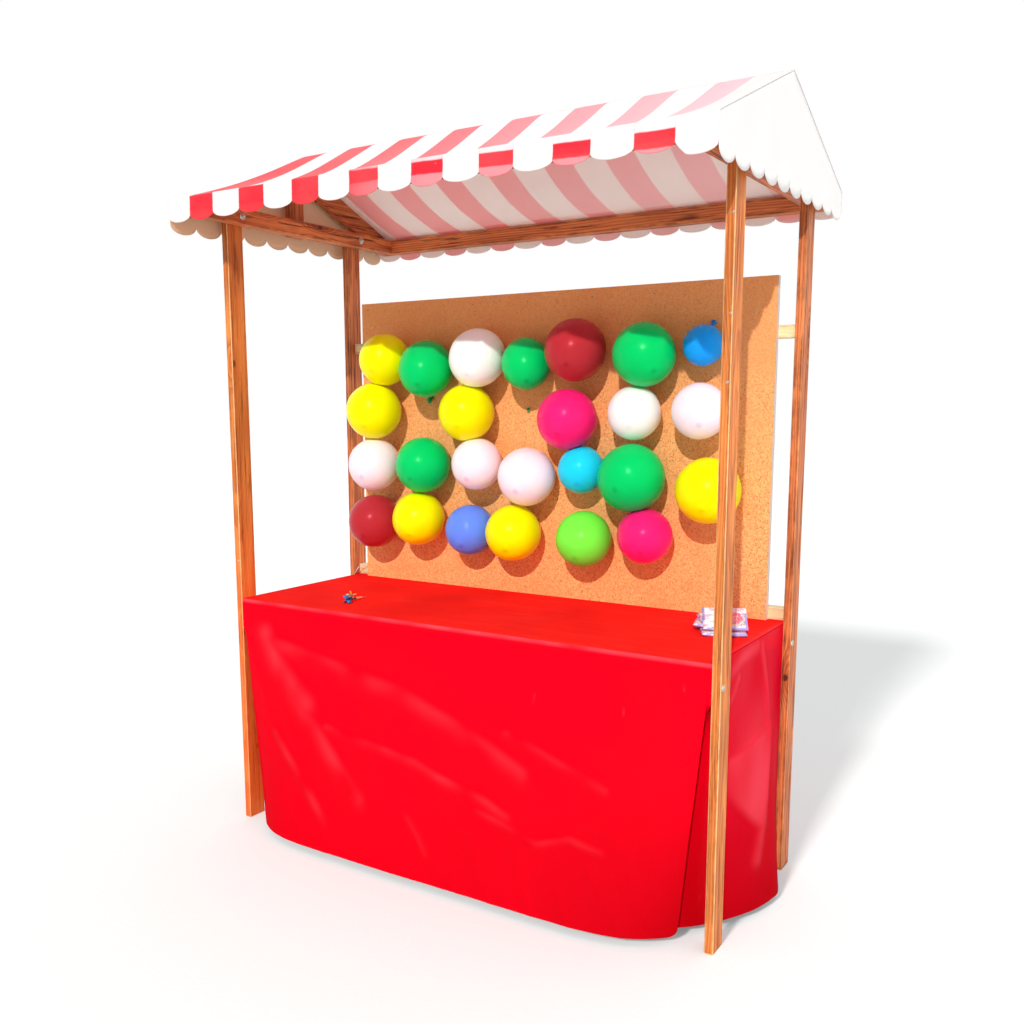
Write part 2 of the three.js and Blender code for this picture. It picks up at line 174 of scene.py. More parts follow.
def join(name: str, pieces: Sequence[Piece]) -> Piece:
    """Joins meshes with their materials into one named piece.

    Args:
        name: Name of the joined piece.
        pieces: The objects to join, which are removed.

    Returns:
        The joined object.
    """
    work = bmesh.new()
    finishes: list[Material] = []
    for piece in pieces:
        start = len(work.faces)
        numbers = []
        for finish in piece.data.materials:
            if finish not in finishes:
                finishes.append(finish)
            numbers.append(finishes.index(finish))
        copy = piece.data.copy()
        copy.transform(piece.matrix_world)
        work.from_mesh(copy)
        work.faces.ensure_lookup_table()
        for face in work.faces[start:]:
            face.material_index = numbers[face.material_index] if numbers else 0
        bpy.data.meshes.remove(copy)
    mesh = bpy.data.meshes.new(name)
    work.to_mesh(mesh)
    work.free()
    for finish in finishes:
        mesh.materials.append(finish)
    for piece in pieces:
        bpy.data.objects.remove(piece)
    joined = bpy.data.objects.new(name, mesh)
    bpy.context.scene.collection.objects.link(joined)
    return joined


def lathe(name: str, profile: Sequence[tuple[float, float]], segments: int = 28,
          place: Matrix | None = None, smooth: bool = True) -> Piece:
    """Turns a profile round the Z axis.

    Args:
        name: Name of the piece.
        profile: Pairs of radius and height from one end to the other. A radius of 0 is a tip.
        segments: Points round each ring.
        place: Where the turned piece goes.
        smooth: Whether it is shaded smooth.

    Returns:
        The turned piece.
    """
    points: list[Vector] = []
    rings: list[list[int]] = []
    for radius, height in profile:
        start = len(points)
        points += [Vector((0, 0, height))] if radius <= 0 else ring(radius, height, segments)
        rings.append(list(range(start, len(points))))
    faces: list[tuple[int, ...]] = []
    for low, high in zip(rings, rings[1:]):
        for step in range(segments):
            after = (step + 1) % segments
            if len(low) == 1 and len(high) > 1:
                faces.append((low[0], high[after], high[step]))
            elif len(high) == 1 and len(low) > 1:
                faces.append((low[step], low[after], high[0]))
            elif len(low) > 1:
                faces.append((low[step], low[after], high[after], high[step]))
    if place is not None:
        points = [place @ point for point in points]
    return mesh_piece(name, points, faces, smooth)


def tube(name: str, path: Sequence[Vector], radius: float, sides: int = 8) -> Piece:
    """Sweeps a round section along a path and closes both ends.

    Args:
        name: Name of the piece.
        path: Points that the middle of the tube follows.
        radius: Radius of the section.
        sides: Points round the section.

    Returns:
        The tube.
    """
    points: list[Vector] = []
    across = Vector((0, 0, 1))
    for i, centre in enumerate(path):
        ahead = (path[min(i + 1, len(path) - 1)] - path[max(i - 1, 0)]).normalized()
        side = across.cross(ahead).normalized()
        across = ahead.cross(side)
        for step in range(sides):
            turn = math.tau * step / sides
            points.append(centre + radius * (math.cos(turn) * side + math.sin(turn) * across))
    last = (len(path) - 1) * sides
    ends = [tuple(reversed(range(sides))), tuple(range(last, last + sides))]
    return mesh_piece(name, points, grid_faces(sides, len(path), closed=True) + ends)


def facing(axis: Sequence[float], at: Sequence[float]) -> Matrix:
    """A placement whose Z axis points along axis, at a point."""
    turn = Vector(axis).normalized().to_track_quat("Z", "Y")
    return Matrix.Translation(at) @ turn.to_matrix().to_4x4()


def turned(degrees: float, axis: str) -> Matrix:
    """A turn round one of the axes."""
    return Matrix.Rotation(math.radians(degrees), 4, axis)


def dress(piece: Piece, *finishes: Material) -> None:
    """Gives a piece its materials, in place of any that it had.

    Args:
        piece: The piece.
        finishes: One material for each slot.
    """
    piece.data.materials.clear()
    for finish in finishes:
        piece.data.materials.append(finish)


def declare(piece: Piece, slot: str, *nodes: str) -> None:
    """Fixes a finished piece to the body of the stall, hides the frame's nodes that it stands for, and logs
    its face count.

    Args:
        piece: The piece, which is fixed to the body of the stall.
        slot: Name of its slot; not used.
        nodes: The frame's nodes that it stands for.
    """
    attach(piece, "root")
    if nodes:
        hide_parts(*nodes)
    LOG.info("%s: %d faces", piece.name, len(piece.data.polygons))


# ---------------- node trees


class Graph:
    """Writes nodes into one node tree and joins them up."""

    def __init__(self, tree: bpy.types.NodeTree) -> None:
        """Starts on an empty node tree."""
        self.tree = tree

    def feed(self, socket: Socket, value: "Number | Triple") -> None:
        """Joins a socket to another or sets its constant.

        Args:
            socket: The input to fill.
            value: An output socket, a number, a vector or a colour of three numbers.
        """
        if isinstance(value, Socket):
            self.tree.links.new(value, socket)
        elif socket.type == "RGBA" and not isinstance(value, (int, float)):
            socket.default_value = (*value[:3], 1.0)
        else:
            socket.default_value = value

    def fill(self, node: bpy.types.Node, inputs: dict) -> bpy.types.Node:
        """Feeds inputs of a node.

        Args:
            node: The node.
            inputs: Values or output sockets by input name or number.

        Returns:
            The same node.
        """
        for key, value in inputs.items():
            self.feed(node.inputs[key], value)
        return node

    def add(self, kind: str, inputs: dict | None = None, **settings: object) -> bpy.types.Node:
        """Adds a node.

        Args:
            kind: Type of the node, without the words that every shader node's type starts with.
            inputs: Values or output sockets by input name or number.
            settings: The node's own settings.

        Returns:
            The new node.
        """
        node = self.tree.nodes.new(f"ShaderNode{kind}")
        for key, value in settings.items():
            setattr(node, key, value)
        return self.fill(node, inputs or {})

    def use(self, name: str, inputs: dict) -> Sockets:
        """Places a shared group, which is built the first time that a material asks for it.

        Args:
            name: Name of the group and of the SharedGroup method that builds it.
            inputs: Values or output sockets by input name.

        Returns:
            The outputs of the group.
        """
        if name not in bpy.data.node_groups:
            getattr(SharedGroup(name), name)()
        return self.add("Group", inputs, node_tree=bpy.data.node_groups[name]).outputs

    def math(self, operation: str, a: Number, b: Number = 0.0, clamp: bool = False) -> Socket:
        """Adds one Math node and returns its result."""
        return self.add("Math", {0: a, 1: b}, operation=operation, use_clamp=clamp).outputs[0]

    def times(self, a: Number, b: Number, clamp: bool = False) -> Socket:
        """Product of two values."""
        return self.math("MULTIPLY", a, b, clamp)

    def product(self, first: Socket, *others: Socket) -> Socket:
        """Product of several values, from left to right."""
        return reduce(self.times, others, first)

    def plus(self, a: Number, b: Number, clamp: bool = False) -> Socket:
        """Sum of two values."""
        return self.math("ADD", a, b, clamp)

    def minus(self, a: Number, b: Number) -> Socket:
        """Difference of two values."""
        return self.math("SUBTRACT", a, b)

    def larger(self, a: Number, b: Number) -> Socket:
        """The larger of two values."""
        return self.math("MAXIMUM", a, b)

    def size(self, value: Socket) -> Socket:
        """A value without its sign."""
        return self.math("ABSOLUTE", value)

    def vector(self, operation: str, a: Triple, b: Triple = (0.0, 0.0, 0.0)) -> Socket:
        """Adds one Vector Math node and returns its vector, or its value for a length or a dot product."""
        node = self.add("VectorMath", {0: a, 1: b}, operation=operation)
        return node.outputs["Value" if operation in ("LENGTH", "DOT_PRODUCT") else "Vector"]

    def stretch(self, a: Triple, b: Triple) -> Socket:
        """Product of two vectors, part by part."""
        return self.vector("MULTIPLY", a, b)

    def split(self, value: Socket) -> Sockets:
        """The three parts of a vector."""
        return self.add("SeparateXYZ", {0: value}).outputs

    def mix(self, factor: Number, a: Triple, b: Triple, blend: str = "MIX") -> Socket:
        """Adds one colour Mix node and returns its result."""
        return self.add("Mix", {0: factor, 6: a, 7: b}, data_type="RGBA", blend_type=blend).outputs[2]

    def remap(self, value: Number, low: float, high: float, to_low: Number = 0.0, to_high: Number = 1.0,
              smooth: bool = False) -> Socket:
        """Maps a value from one range to another, clamped, and returns it."""
        kind = "SMOOTHSTEP" if smooth else "LINEAR"
        return self.add("MapRange", {0: value, 1: low, 2: high, 3: to_low, 4: to_high},
                        interpolation_type=kind).outputs[0]

    def noise(self, where: Socket, scale: Number, detail: float = 2.0, roughness: float = 0.5) -> Socket:
        """Adds a noise texture and returns its value."""
        return self.add("TexNoise", {
            "Vector": where, "Scale": scale, "Detail": detail, "Roughness": roughness}).outputs[0]

    def grain(self, where: Socket, scales: Point, detail: float = 2.0, roughness: float = 0.5) -> Socket:
        """Adds a noise texture with its own scale along each axis and returns its value."""
        return self.noise(self.stretch(where, scales), 1.0, detail, roughness)

    def place(self) -> Socket:
        """Coordinates of the surface in the piece's own space, in metres."""
        return self.add("TexCoord").outputs["Object"]

    def bump(self, height: Socket, distance: float, strength: float) -> Socket:
        """Adds a Bump node and returns its normal."""
        return self.add("Bump", {"Height": height, "Distance": distance, "Strength": strength}).outputs[0]


class SharedGroup(Graph):
    """A shader node group that materials share. Each method but the first two builds one of them."""

    def __init__(self, name: str) -> None:
        """Starts an empty group."""
        super().__init__(bpy.data.node_groups.new(name, "ShaderNodeTree"))

    def sockets(self, inputs: Sequence[tuple[str, str, object]], *outputs: tuple[str, str]) -> tuple[
            Sockets, bpy.types.Node]:
        """Gives the group its inputs and outputs.

        Args:
            inputs: Name, kind and default value of each input after Vector, which every group has.
            outputs: Name and kind of each output.

        Returns:
            What comes in, by name, and the node that takes what goes out.
        """
        new_socket = self.tree.interface.new_socket
        for label, kind, value in (("Vector", "Vector", (0, 0, 0)), *inputs):
            socket = new_socket(name=label, in_out="INPUT", socket_type=f"NodeSocket{kind}")
            socket.default_value = (*value, 1.0) if kind == "Color" else value
        for label, kind in outputs:
            new_socket(name=label, in_out="OUTPUT", socket_type=f"NodeSocket{kind}")
        nodes = self.tree.nodes
        return nodes.new("NodeGroupInput").outputs, nodes.new("NodeGroupOutput")

    def wood_grain(self) -> None:
        """Growth rings, fibres and knots of a board whose fibres run along Z."""
        given, out = self.sockets(
            [("Heart", "Vector", (0, 0, 0)), ("Seed", "Vector", (0, 0, 0)),
             ("Early Wood", "Color", (0.6, 0.2, 0.07)), ("Late Wood", "Color", (0.3, 0.08, 0.02)),
             ("Knot", "Color", (0.12, 0.03, 0.01)), ("Ring Width", "Float", 0.007),
             ("Knots", "Float", 1.0)], ("Color", "Color"), ("Height", "Float"), ("Roughness", "Float"))
        place = given["Vector"]
        seeded = self.vector("ADD", place, given["Seed"])
        knot_place = self.stretch(seeded, (8.0, 8.0, 2.3))
        knots = self.add("TexVoronoi", {"Vector": knot_place, "Scale": 1.0, "Randomness": 0.9})
        near = self.remap(knots.outputs["Distance"], 0.03, 0.30, 1.0, 0.0, smooth=True)
        near = self.times(near, given["Knots"])
        round_off = self.stretch(
            self.vector("SUBTRACT", knot_place, knots.outputs["Position"]), (1.0, 1.0, 2.3))
        ragged = self.times(self.grain(seeded, (90.0, 90.0, 60.0), 3.0), 0.09)
        core = self.plus(self.vector("LENGTH", round_off), ragged)
        core = self.remap(core, 0.085, 0.15, 0.85, 0.0, smooth=True)
        core = self.times(core, given["Knots"], clamp=True)
        flat = self.stretch(self.vector("SUBTRACT", place, given["Heart"]), (1, 1, 0))
        radius = self.vector("LENGTH", flat)
        slow = self.grain(seeded, (3.0, 3.0, 1.1), 2.0)
        wander = self.grain(seeded, (22.0, 22.0, 3.2), 2.0)
        radius = self.plus(radius, self.times(slow, 0.05))
        radius = self.plus(radius, self.times(wander, 0.010))
        radius = self.plus(radius, self.times(near, 0.016))
        phase = self.math("FRACT", self.math("DIVIDE", radius, given["Ring Width"]))
        rise = self.remap(phase, 0.2, 0.86, 0.0, 1.0, smooth=True)
        fall = self.remap(phase, 0.9, 1.0, 1.0, 0.0)
        ring = self.times(rise, fall)
        fibre = self.grain(seeded, (170.0, 170.0, 5.0), 3.0, 0.6)
        streak = self.grain(seeded, (38.0, 38.0, 1.6), 3.0, 0.6)
        tone = self.remap(streak, 0.34, 0.7)
        tone = self.plus(self.times(tone, 0.5), self.times(ring, 0.42))
        tone = self.plus(tone, self.times(self.remap(fibre, 0.35, 0.7), 0.2), clamp=True)
        tone = self.plus(tone, self.times(near, 0.3), clamp=True)
        colour = self.mix(tone, given["Early Wood"], given["Late Wood"])
        resin = self.grain(seeded, (74.0, 74.0, 3.4), 4.0, 0.66)
        resin = self.times(self.remap(resin, 0.55, 0.66), given["Knots"])
        colour = self.mix(self.times(resin, 0.66), colour, given["Knot"])
        patch = self.remap(self.grain(seeded, (6.0, 6.0, 1.4), 2.0), 0.3, 0.72, 1.12, 0.82)
        colour = self.mix(
            1.0, colour, self.add("CombineColor", {0: patch, 1: patch, 2: patch}).outputs[0], "MULTIPLY")
        colour = self.mix(core, colour, given["Knot"])
        height = self.minus(self.times(ring, 0.6), self.times(fibre, 0.7))
        height = self.minus(height, self.times(core, 0.9))
        self.fill(out, {
            "Color": colour,
            "Height": height,
            "Roughness": self.remap(fibre, 0.3, 0.75, 0.48, 0.68)})

    def tone_patches(self) -> None:
        """Slow changes of tone and small marks over a colour, as handling and weather leave them."""
        given, out = self.sockets(
            [("Color", "Color", (1, 1, 1)), ("Stain", "Color", (0, 0, 0)), ("Patch Size", "Float", 0.3),
             ("Amount", "Float", 0.1), ("Marks", "Float", 0.0)],
            ("Color", "Color"), ("Mask", "Float"))
        scale = self.math("DIVIDE", 1.0, given["Patch Size"])
        node = self.add("TexNoise", {"Vector": given["Vector"], "Scale": scale, "Detail": 4.0})
        mask = self.remap(node.outputs[0], 0.38, 0.68, smooth=True)
        colour = self.mix(self.times(mask, given["Amount"]), given["Color"], given["Stain"])
        dots = self.add("TexVoronoi", {"Vector": given["Vector"], "Scale": 9.0})
        dot = self.remap(dots.outputs["Distance"], 0.016, 0.03, 1.0, 0.0)
        dot = self.times(dot, given["Marks"])
        colour = self.mix(dot, colour, (0.9, 0.86, 0.82))
        self.fill(out, {"Color": colour, "Mask": mask})

    def coated_weave(self) -> None:
        """Threads that show through a plastic coat, with a slow ripple over them."""
        given, out = self.sockets(
            [("Threads", "Float", 900.0), ("Ripple", "Float", 1.0)], ("Height", "Float"), ("Mask", "Float"))
        whole = self.add("VectorMath", {0: given["Vector"], "Scale": math.tau}, operation="SCALE")
        x, y, z = self.split(whole.outputs["Vector"])
        waves = [self.math("SINE", self.times(side, given["Threads"])) for side in (self.plus(x, y), z)]
        weave = self.times(self.plus(*waves), 0.25)
        ripple = self.noise(given["Vector"], 16.0, 3.0)
        ripple = self.times(ripple, given["Ripple"])
        self.fill(out, {
            "Height": self.plus(self.times(weave, 0.04), ripple), "Mask": self.remap(weave, -0.4, 0.4)})

    def box_edges(self) -> None:
        """A mask of the long edges of a box, where a timber wears and catches the light."""
        given, out = self.sockets(
            [("Low", "Vector", (0, 0, 0)), ("High", "Vector", (1, 1, 1)), ("Width", "Float", 0.004)],
            ("Mask", "Float"))
        place = given["Vector"]
        above, below = (self.vector("SUBTRACT", place, given["Low"]),
                        self.vector("SUBTRACT", given["High"], place))
        inside = self.vector("MINIMUM", above, below)
        parts = self.split(inside)
        low = self.math("MINIMUM", parts[0], parts[1])
        high = self.larger(parts[0], parts[1])
        second = self.larger(low, self.math("MINIMUM", high, parts[2]))
        ragged = self.times(self.noise(place, 45.0, 3.0), given["Width"])
        edge = self.minus(self.plus(given["Width"], ragged), second)
        self.fill(out, {"Mask": self.math("DIVIDE", edge, given["Width"], clamp=True)})

    def stripe_mask(self) -> None:
        """Printed stripes across X: 1 on the coloured stripes and 0 between them."""
        given, out = self.sockets(
            [("Middle", "Float", 0.0), ("Pitch", "Float", 0.25), ("Share", "Float", 0.5)],
            ("Mask", "Float"), ("Edge", "Float"))
        across = self.split(given["Vector"])[0]
        bleed = self.times(self.noise(given["Vector"], 260.0, 2.0), 0.0012)
        turn = self.math("DIVIDE", self.minus(self.plus(across, bleed), given["Middle"]), given["Pitch"])
        wave = self.math("COSINE", self.times(turn, math.tau))
        level = self.math("COSINE", self.times(given["Share"], math.pi))
        wave = self.minus(wave, level)
        self.fill(out, {
            "Mask": self.remap(wave, -0.02, 0.02), "Edge": self.remap(self.size(wave), 0.0, 0.1, 1.0, 0.0)})


# ---------------- finishes


class Axis(Enum):
    """Direction of a timber's fibres, as the order of coordinates that brings them to Z."""

    X = (2, 1, 0)
    Y = (0, 2, 1)
    Z = (0, 1, 2)


class Surface(Graph):
    """The nodes of one material, with its Principled shader."""

    def __init__(self, name: str) -> None:
        """Starts a material that holds its shader and its output.

        Args:
            name: Name of the material.
        """
        self.made = bpy.data.materials.new(name)
        self.made.use_nodes = True
        self.made.node_tree.nodes.clear()
        super().__init__(self.made.node_tree)
        self.shader = self.add("BsdfPrincipled")
        self.output = self.add("OutputMaterial", {"Surface": self.shader.outputs[0]})

    def show(self, inputs: dict) -> None:
        """Feeds inputs of the shader, by their names."""
        self.fill(self.shader, inputs)

    def let_light_through(self, share: float, colour: Colour) -> None:
        """Lets part of the light through a thin sheet.

        Args:
            share: How much of the surface scatters light to the other side.
            colour: Colour of the light that comes through.
        """
        through = self.add("BsdfTranslucent", {"Color": colour})
        mixed = self.add("MixShader", {0: share, 1: self.shader.outputs[0], 2: through.outputs[0]})
        self.feed(self.output.inputs["Surface"], mixed.outputs[0])


class Finish:
    """A kind of surface, which lays out its own nodes."""

    def lay(self, graph: Surface, place: Socket) -> None:
        """Lays out the nodes of the finish.

        Args:
            graph: The nodes of the material.
            place: Coordinates on the surface.
        """
        raise NotImplementedError

    def material(self, name: str) -> Material:
        """Makes a material of this finish.

        Args:
            name: Name of the material.

        Returns:
            The material.
        """
        graph = Surface(name)
        self.lay(graph, graph.place())
        return graph.made


@dataclass(frozen=True)
class TimberFinish:
    """Planed softwood with rings, fibres and knots, under a thin stain or bare."""

    early: Colour
    late: Colour
    knot: Colour
    worn: Colour
    ring_width: float = 0.0075
    knots: float = 1.0
    wear: float = 0.35
    coat: float = 0.03
    red_bounce: Colour | None = None

    def material(self, name: str, axis: Axis, box: tuple[Vector, Vector], seed: int) -> Material:
        """Makes the material of one timber.

        Args:
            name: Name of the material.
            axis: Direction of the fibres.
            box: Lowest and highest corners of the timber.
            seed: Number that tells this timber's grain from the others'.

        Returns:
            The material.
        """
        graph = Surface(name)
        draw = random.Random(seed)
        place = graph.place()
        parts = graph.split(place)
        turned = graph.add("CombineXYZ", {i: parts[j] for i, j in enumerate(axis.value)}).outputs[0]
        middle = (box[0] + box[1]) / 2
        heart = [middle[j] for j in axis.value]
        away = draw.uniform(0, math.tau)
        reach = draw.uniform(0.05, 0.1)
        heart[0] += reach * math.cos(away)
        heart[1] += reach * math.sin(away)
        grain = graph.use("wood_grain", {
            "Vector": turned, "Heart": heart, "Seed": [draw.uniform(-9, 9) for _ in range(3)],
            "Early Wood": self.early, "Late Wood": self.late, "Knot": self.knot,
            "Ring Width": self.ring_width * draw.uniform(0.85, 1.2), "Knots": self.knots})
        # Lighter edges: partly wear of the arrises and partly a painted highlight where they catch the
        # light.
        edges = graph.use("box_edges", {"Vector": place, "Low": box[0], "High": box[1], "Width": 0.0028})
        worn = graph.times(edges["Mask"], self.wear)
        dirty = graph.use("box_edges", {"Vector": place, "Low": box[0], "High": box[1], "Width": 0.0085})
        blotches = graph.remap(graph.noise(place, 14.0, 3.0), 0.40, 0.62, 0.0, 0.55 * self.knots)
        dirty = graph.times(dirty["Mask"], blotches)
        colour = graph.mix(dirty, grain["Color"], [c * 0.45 for c in self.late])
        colour = graph.mix(worn, colour, self.worn)
        # Painted reflection: red light bounced from the cloth, painted low on an upright timber.
        if self.red_bounce and axis is Axis.Z:
            colour = graph.mix(graph.remap(parts[2], 1.35, 0.6, 0.0, 0.5), colour, self.red_bounce)
        aged = graph.use("tone_patches", {
            "Vector": place, "Color": colour, "Stain": [c * 0.55 for c in self.late], "Patch Size": 0.35,
            "Amount": 0.28})
        graph.show({
            "Base Color": aged["Color"],
            "Roughness": grain["Roughness"],
            "Normal": graph.bump(grain["Height"], 0.0006, 0.55),
            "Specular IOR Level": 0.22,
            "Coat Weight": self.coat,
            "Coat Roughness": 0.4})
        return graph.made


@dataclass(frozen=True)
class CanopyFinish(Finish):
    """Coated canopy cloth with printed stripes, or plain."""

    red: Colour
    white: Colour
    middle: float = -0.884
    pitch: float = 0.252
    share: float = 0.476
    striped: bool = True
    # Colour of the painted sheen and highlights on the red stripes.
    sheen_colour: Colour | None = None
    # Colour of the painted glow band on the inside, just above the eave beams.
    glow_band: Colour | None = None
    stain: Colour = (0.66, 0.58, 0.55)
    through: float = 0.18
    glow: Colour = (0.9, 0.5, 0.45)

    def painted_sheen(self, graph: Graph, place: Socket) -> Socket:
        """Painted sheen on the red stripes: painted highlights over the slopes and along the fold, and a
        painted reflection on the turned-out lower valance.

        Args:
            graph: Graph of the material.
            place: Coordinates on the cloth.

        Returns:
            Share of the painted sheen colour.
        """
        across, _, height = graph.split(place)
        ragged = graph.times(graph.minus(graph.noise(place, 26.0, 2.0), 0.5), 0.006)
        # Painted highlight on the rounded fold over the eave, growing towards the right.
        fold = graph.remap(across, -0.38, 0.88, 2.453, 2.424)
        lip = graph.remap(graph.plus(graph.minus(height, fold), ragged), 0.0, 0.004)
        sheen_to_right = graph.math("POWER", graph.remap(across, -0.9, 0.95), 1.8)
        sheen_to_right = graph.plus(graph.times(sheen_to_right, 0.92), 0.03)
        bent = graph.times(graph.remap(height, 2.474, 2.456), graph.remap(across, -0.38, 0.2, 0.1, 0.5))
        lip = graph.times(lip, graph.plus(sheen_to_right, bent, clamp=True))
        # Painted reflection of the bright sky on the turned-out lower part of the valance tabs.
        edge = graph.remap(across, 0.0, 0.88, 2.410, 2.380)
        low = graph.remap(graph.plus(graph.minus(height, edge), ragged), 0.001, -0.003)
        low = graph.product(
            low, graph.remap(height, 2.366, 2.369, 0.5, 1.0), graph.remap(across, -0.30, 0.12, 0.0, 0.42))
        return graph.larger(lip, low)

    def painted_fold_highlight(self, graph: Graph, place: Socket) -> Socket:
        """Share of white painted on the fold over the eave as a painted highlight.

        Args:
            graph: Graph of the material.
            place: Coordinates on the cloth.

        Returns:
            The share, which grows towards the right end.
        """
        across, _, height = graph.split(place)
        fold = graph.remap(across, -0.38, 0.88, 2.453, 2.424)
        above = graph.remap(graph.minus(height, fold), 0.0, 0.005)
        below = graph.remap(height, 2.462, 2.476, 1.0, 0.0)
        return graph.product(above, below, graph.remap(across, -0.2, 0.4, 0.0, 0.9), graph.remap(
            graph.noise(place, 18.0, 2.0), 0.3, 0.6, 0.75, 1.0))

    def lay(self, graph: Surface, place: Socket) -> None:
        """Lays out the nodes of one face of the cloth.

        Args:
            graph: The nodes of the material.
            place: Coordinates on the surface.
        """
        colour: Socket | Colour = self.white
        if self.striped:
            stripes = graph.use("stripe_mask", {
                "Vector": place, "Middle": self.middle, "Pitch": self.pitch, "Share": self.share})
            red: Socket | Colour = self.red
            white: Socket | Colour = self.white
            if self.sheen_colour is not None:
                # Painted sheen on the red stripes, then the painted white highlight on the fold.
                red = graph.mix(self.painted_sheen(graph, place), self.red, self.sheen_colour)
                red = graph.mix(self.painted_fold_highlight(graph, place), red, self.white)
            if self.glow_band is not None:
                # Painted light: a saturated red and peach band just above the eave beams, where light comes
                # through the cloth.
                height = graph.split(place)[2]
                near = graph.times(
                    graph.remap(height, 2.4625, 2.4665, 1.0, 0.0), graph.remap(height, 2.4558, 2.4568))
                # Painted light: the inside of the valances is mixed towards white to lift the shade that
                # falls there.
                hanging = graph.remap(height, 2.452, 2.440, 0.0, 0.65)
                red = graph.mix(near, graph.mix(hanging, self.red, self.white), self.glow_band)
                white = graph.mix(graph.times(near, 0.6), self.white, (1.0, 0.62, 0.44))
            colour = graph.mix(stripes["Mask"], white, red)
            colour = graph.mix(graph.times(stripes["Edge"], 0.12), colour, [c * 0.85 for c in self.red])
            along = graph.size(graph.split(place)[1])
            worn = graph.times(
                graph.remap(along, 0.0012, 0.003, 1.0, 0.0),
                graph.remap(graph.noise(place, 7.0, 3.0), 0.42, 0.56, 0.0, 0.45))
            colour = graph.mix(worn, colour, (0.34, 0.26, 0.24))
        patches = graph.use("tone_patches", {
            "Vector": place, "Color": colour, "Stain": self.stain, "Patch Size": 0.22,
            "Amount": 0.07, "Marks": 0.5 if self.striped else 0.0})
        weave = graph.use("coated_weave", {"Vector": place, "Threads": 700.0, "Ripple": 0.5})
        graph.show({
            "Base Color": patches["Color"],
            "Roughness": graph.remap(weave["Mask"], 0, 1, 0.42, 0.55),
            "Normal": graph.bump(weave["Height"], 0.002, 0.4)})
        graph.let_light_through(self.through, self.glow)


@dataclass(frozen=True)
class TableClothFinish(Finish):
    """Thin red plastic-coated cloth."""

    red: Colour = (0.86, 0.0006, 0.012)
    deep: Colour = (0.56, 0.0003, 0.006)
    # pale is the colour of the painted sheen and highlights and of the worn patches.
    pale: Colour = (0.92, 0.10, 0.14)
    top: Colour = (1.0, 0.020, 0.015)
    roughness: float = 0.38
    side: Colour = (0.62, 0.0006, 0.016)
    corner_shade: Colour = (0.36, 0.0002, 0.002)

    def lay(self, graph: Surface, place: Socket) -> None:
        """Lays out the nodes of the cloth.

        Args:
            graph: The nodes of the material.
            place: Coordinates on the surface.
        """
        across, along, height = graph.split(place)
        lying = graph.remap(height, 0.930, 0.9322)
        low = graph.remap(height, 0.75, 0.05, 0.0, 0.55)
        hung = graph.mix(low, self.red, self.deep)
        # Painted shade: the side sheets at the ends get a darker red than the front and rear panels.
        ends = graph.remap(graph.size(across), 0.999, 1.004)
        ends = graph.times(ends, graph.remap(graph.size(along), 0.40, 0.37))
        hung = graph.mix(ends, hung, self.side)
        # Painted shade: the cloth darkens towards its lower right corner.
        corner = graph.times(graph.remap(across, 0.42, 0.96), graph.remap(height, 0.55, 0.04))
        hung = graph.mix(graph.times(corner, 0.8), hung, self.corner_shade)
        # The lying top gets a lighter, more orange red: painted sunlight and a painted orange reflection of
        # the cork.
        red = graph.mix(lying, hung, self.top)
        # Painted highlights: faint pale streaks on the top where small creases catch the light.
        streaks = graph.grain(place, (3.5, 22.0, 1.0), 4.0, 0.6)
        streaks = graph.times(graph.remap(streaks, 0.5, 0.66, 0.0, 0.32), lying)
        red = graph.mix(streaks, red, (0.98, 0.05, 0.045))
        patches = graph.use("tone_patches", {
            "Vector": place, "Color": red, "Stain": self.deep, "Patch Size": 0.45, "Amount": 0.28})
        # Painted highlight along the rolled front edge of the counter top.
        rolled = graph.product(graph.remap(height, 0.916, 0.926), graph.remap(height, 0.9326, 0.9312),
                               graph.remap(along, -0.36, -0.38),
                               graph.remap(graph.noise(place, 5.0, 2.0), 0.3, 0.6, 0.15, 0.6))
        # Pale marks: random pale patches, partly wear and partly painted sheen, with the painted edge
        # highlight and the painted sheen stored on each sheet.
        rubbed = graph.grain(place, (30.0, 30.0, 9.0), 5.0, 0.65)
        rubbed = graph.larger(graph.remap(rubbed, 0.70, 0.84, 0.0, 0.3), rolled)
        sheen = graph.add("Attribute", attribute_name="rubbed").outputs["Fac"]
        rubbed = graph.larger(rubbed, sheen)
        weave = graph.use("coated_weave", {"Vector": place, "Threads": 800.0, "Ripple": 0.55})
        colour = graph.mix(rubbed, patches["Color"], self.pale)
        # Painted shade: a dark line just under the lap where each side sheet lies over the long sheet.
        lap_shade = graph.times(graph.remap(graph.size(across), 0.9985, 0.9995), graph.remap(
            graph.size(graph.minus(height, 0.9292)), 0.0009, 0.0022, 0.8, 0.0))
        graph.show({
            "Base Color": graph.mix(lap_shade, colour, (0.20, 0.0002, 0.002)),
            "Roughness": graph.remap(patches["Mask"], 0, 1, self.roughness, self.roughness + 0.08),
            "Normal": graph.bump(weave["Height"], 0.002, 0.5),
            "Specular IOR Level": 0.0})
        gloss = graph.times(graph.remap(height, 0.932, 0.928, 0.02, 0.055), graph.remap(
            patches["Mask"], 0.0, 1.0, 0.7, 1.0))
        graph.show({"Coat Weight": gloss, "Coat Roughness": 0.32})


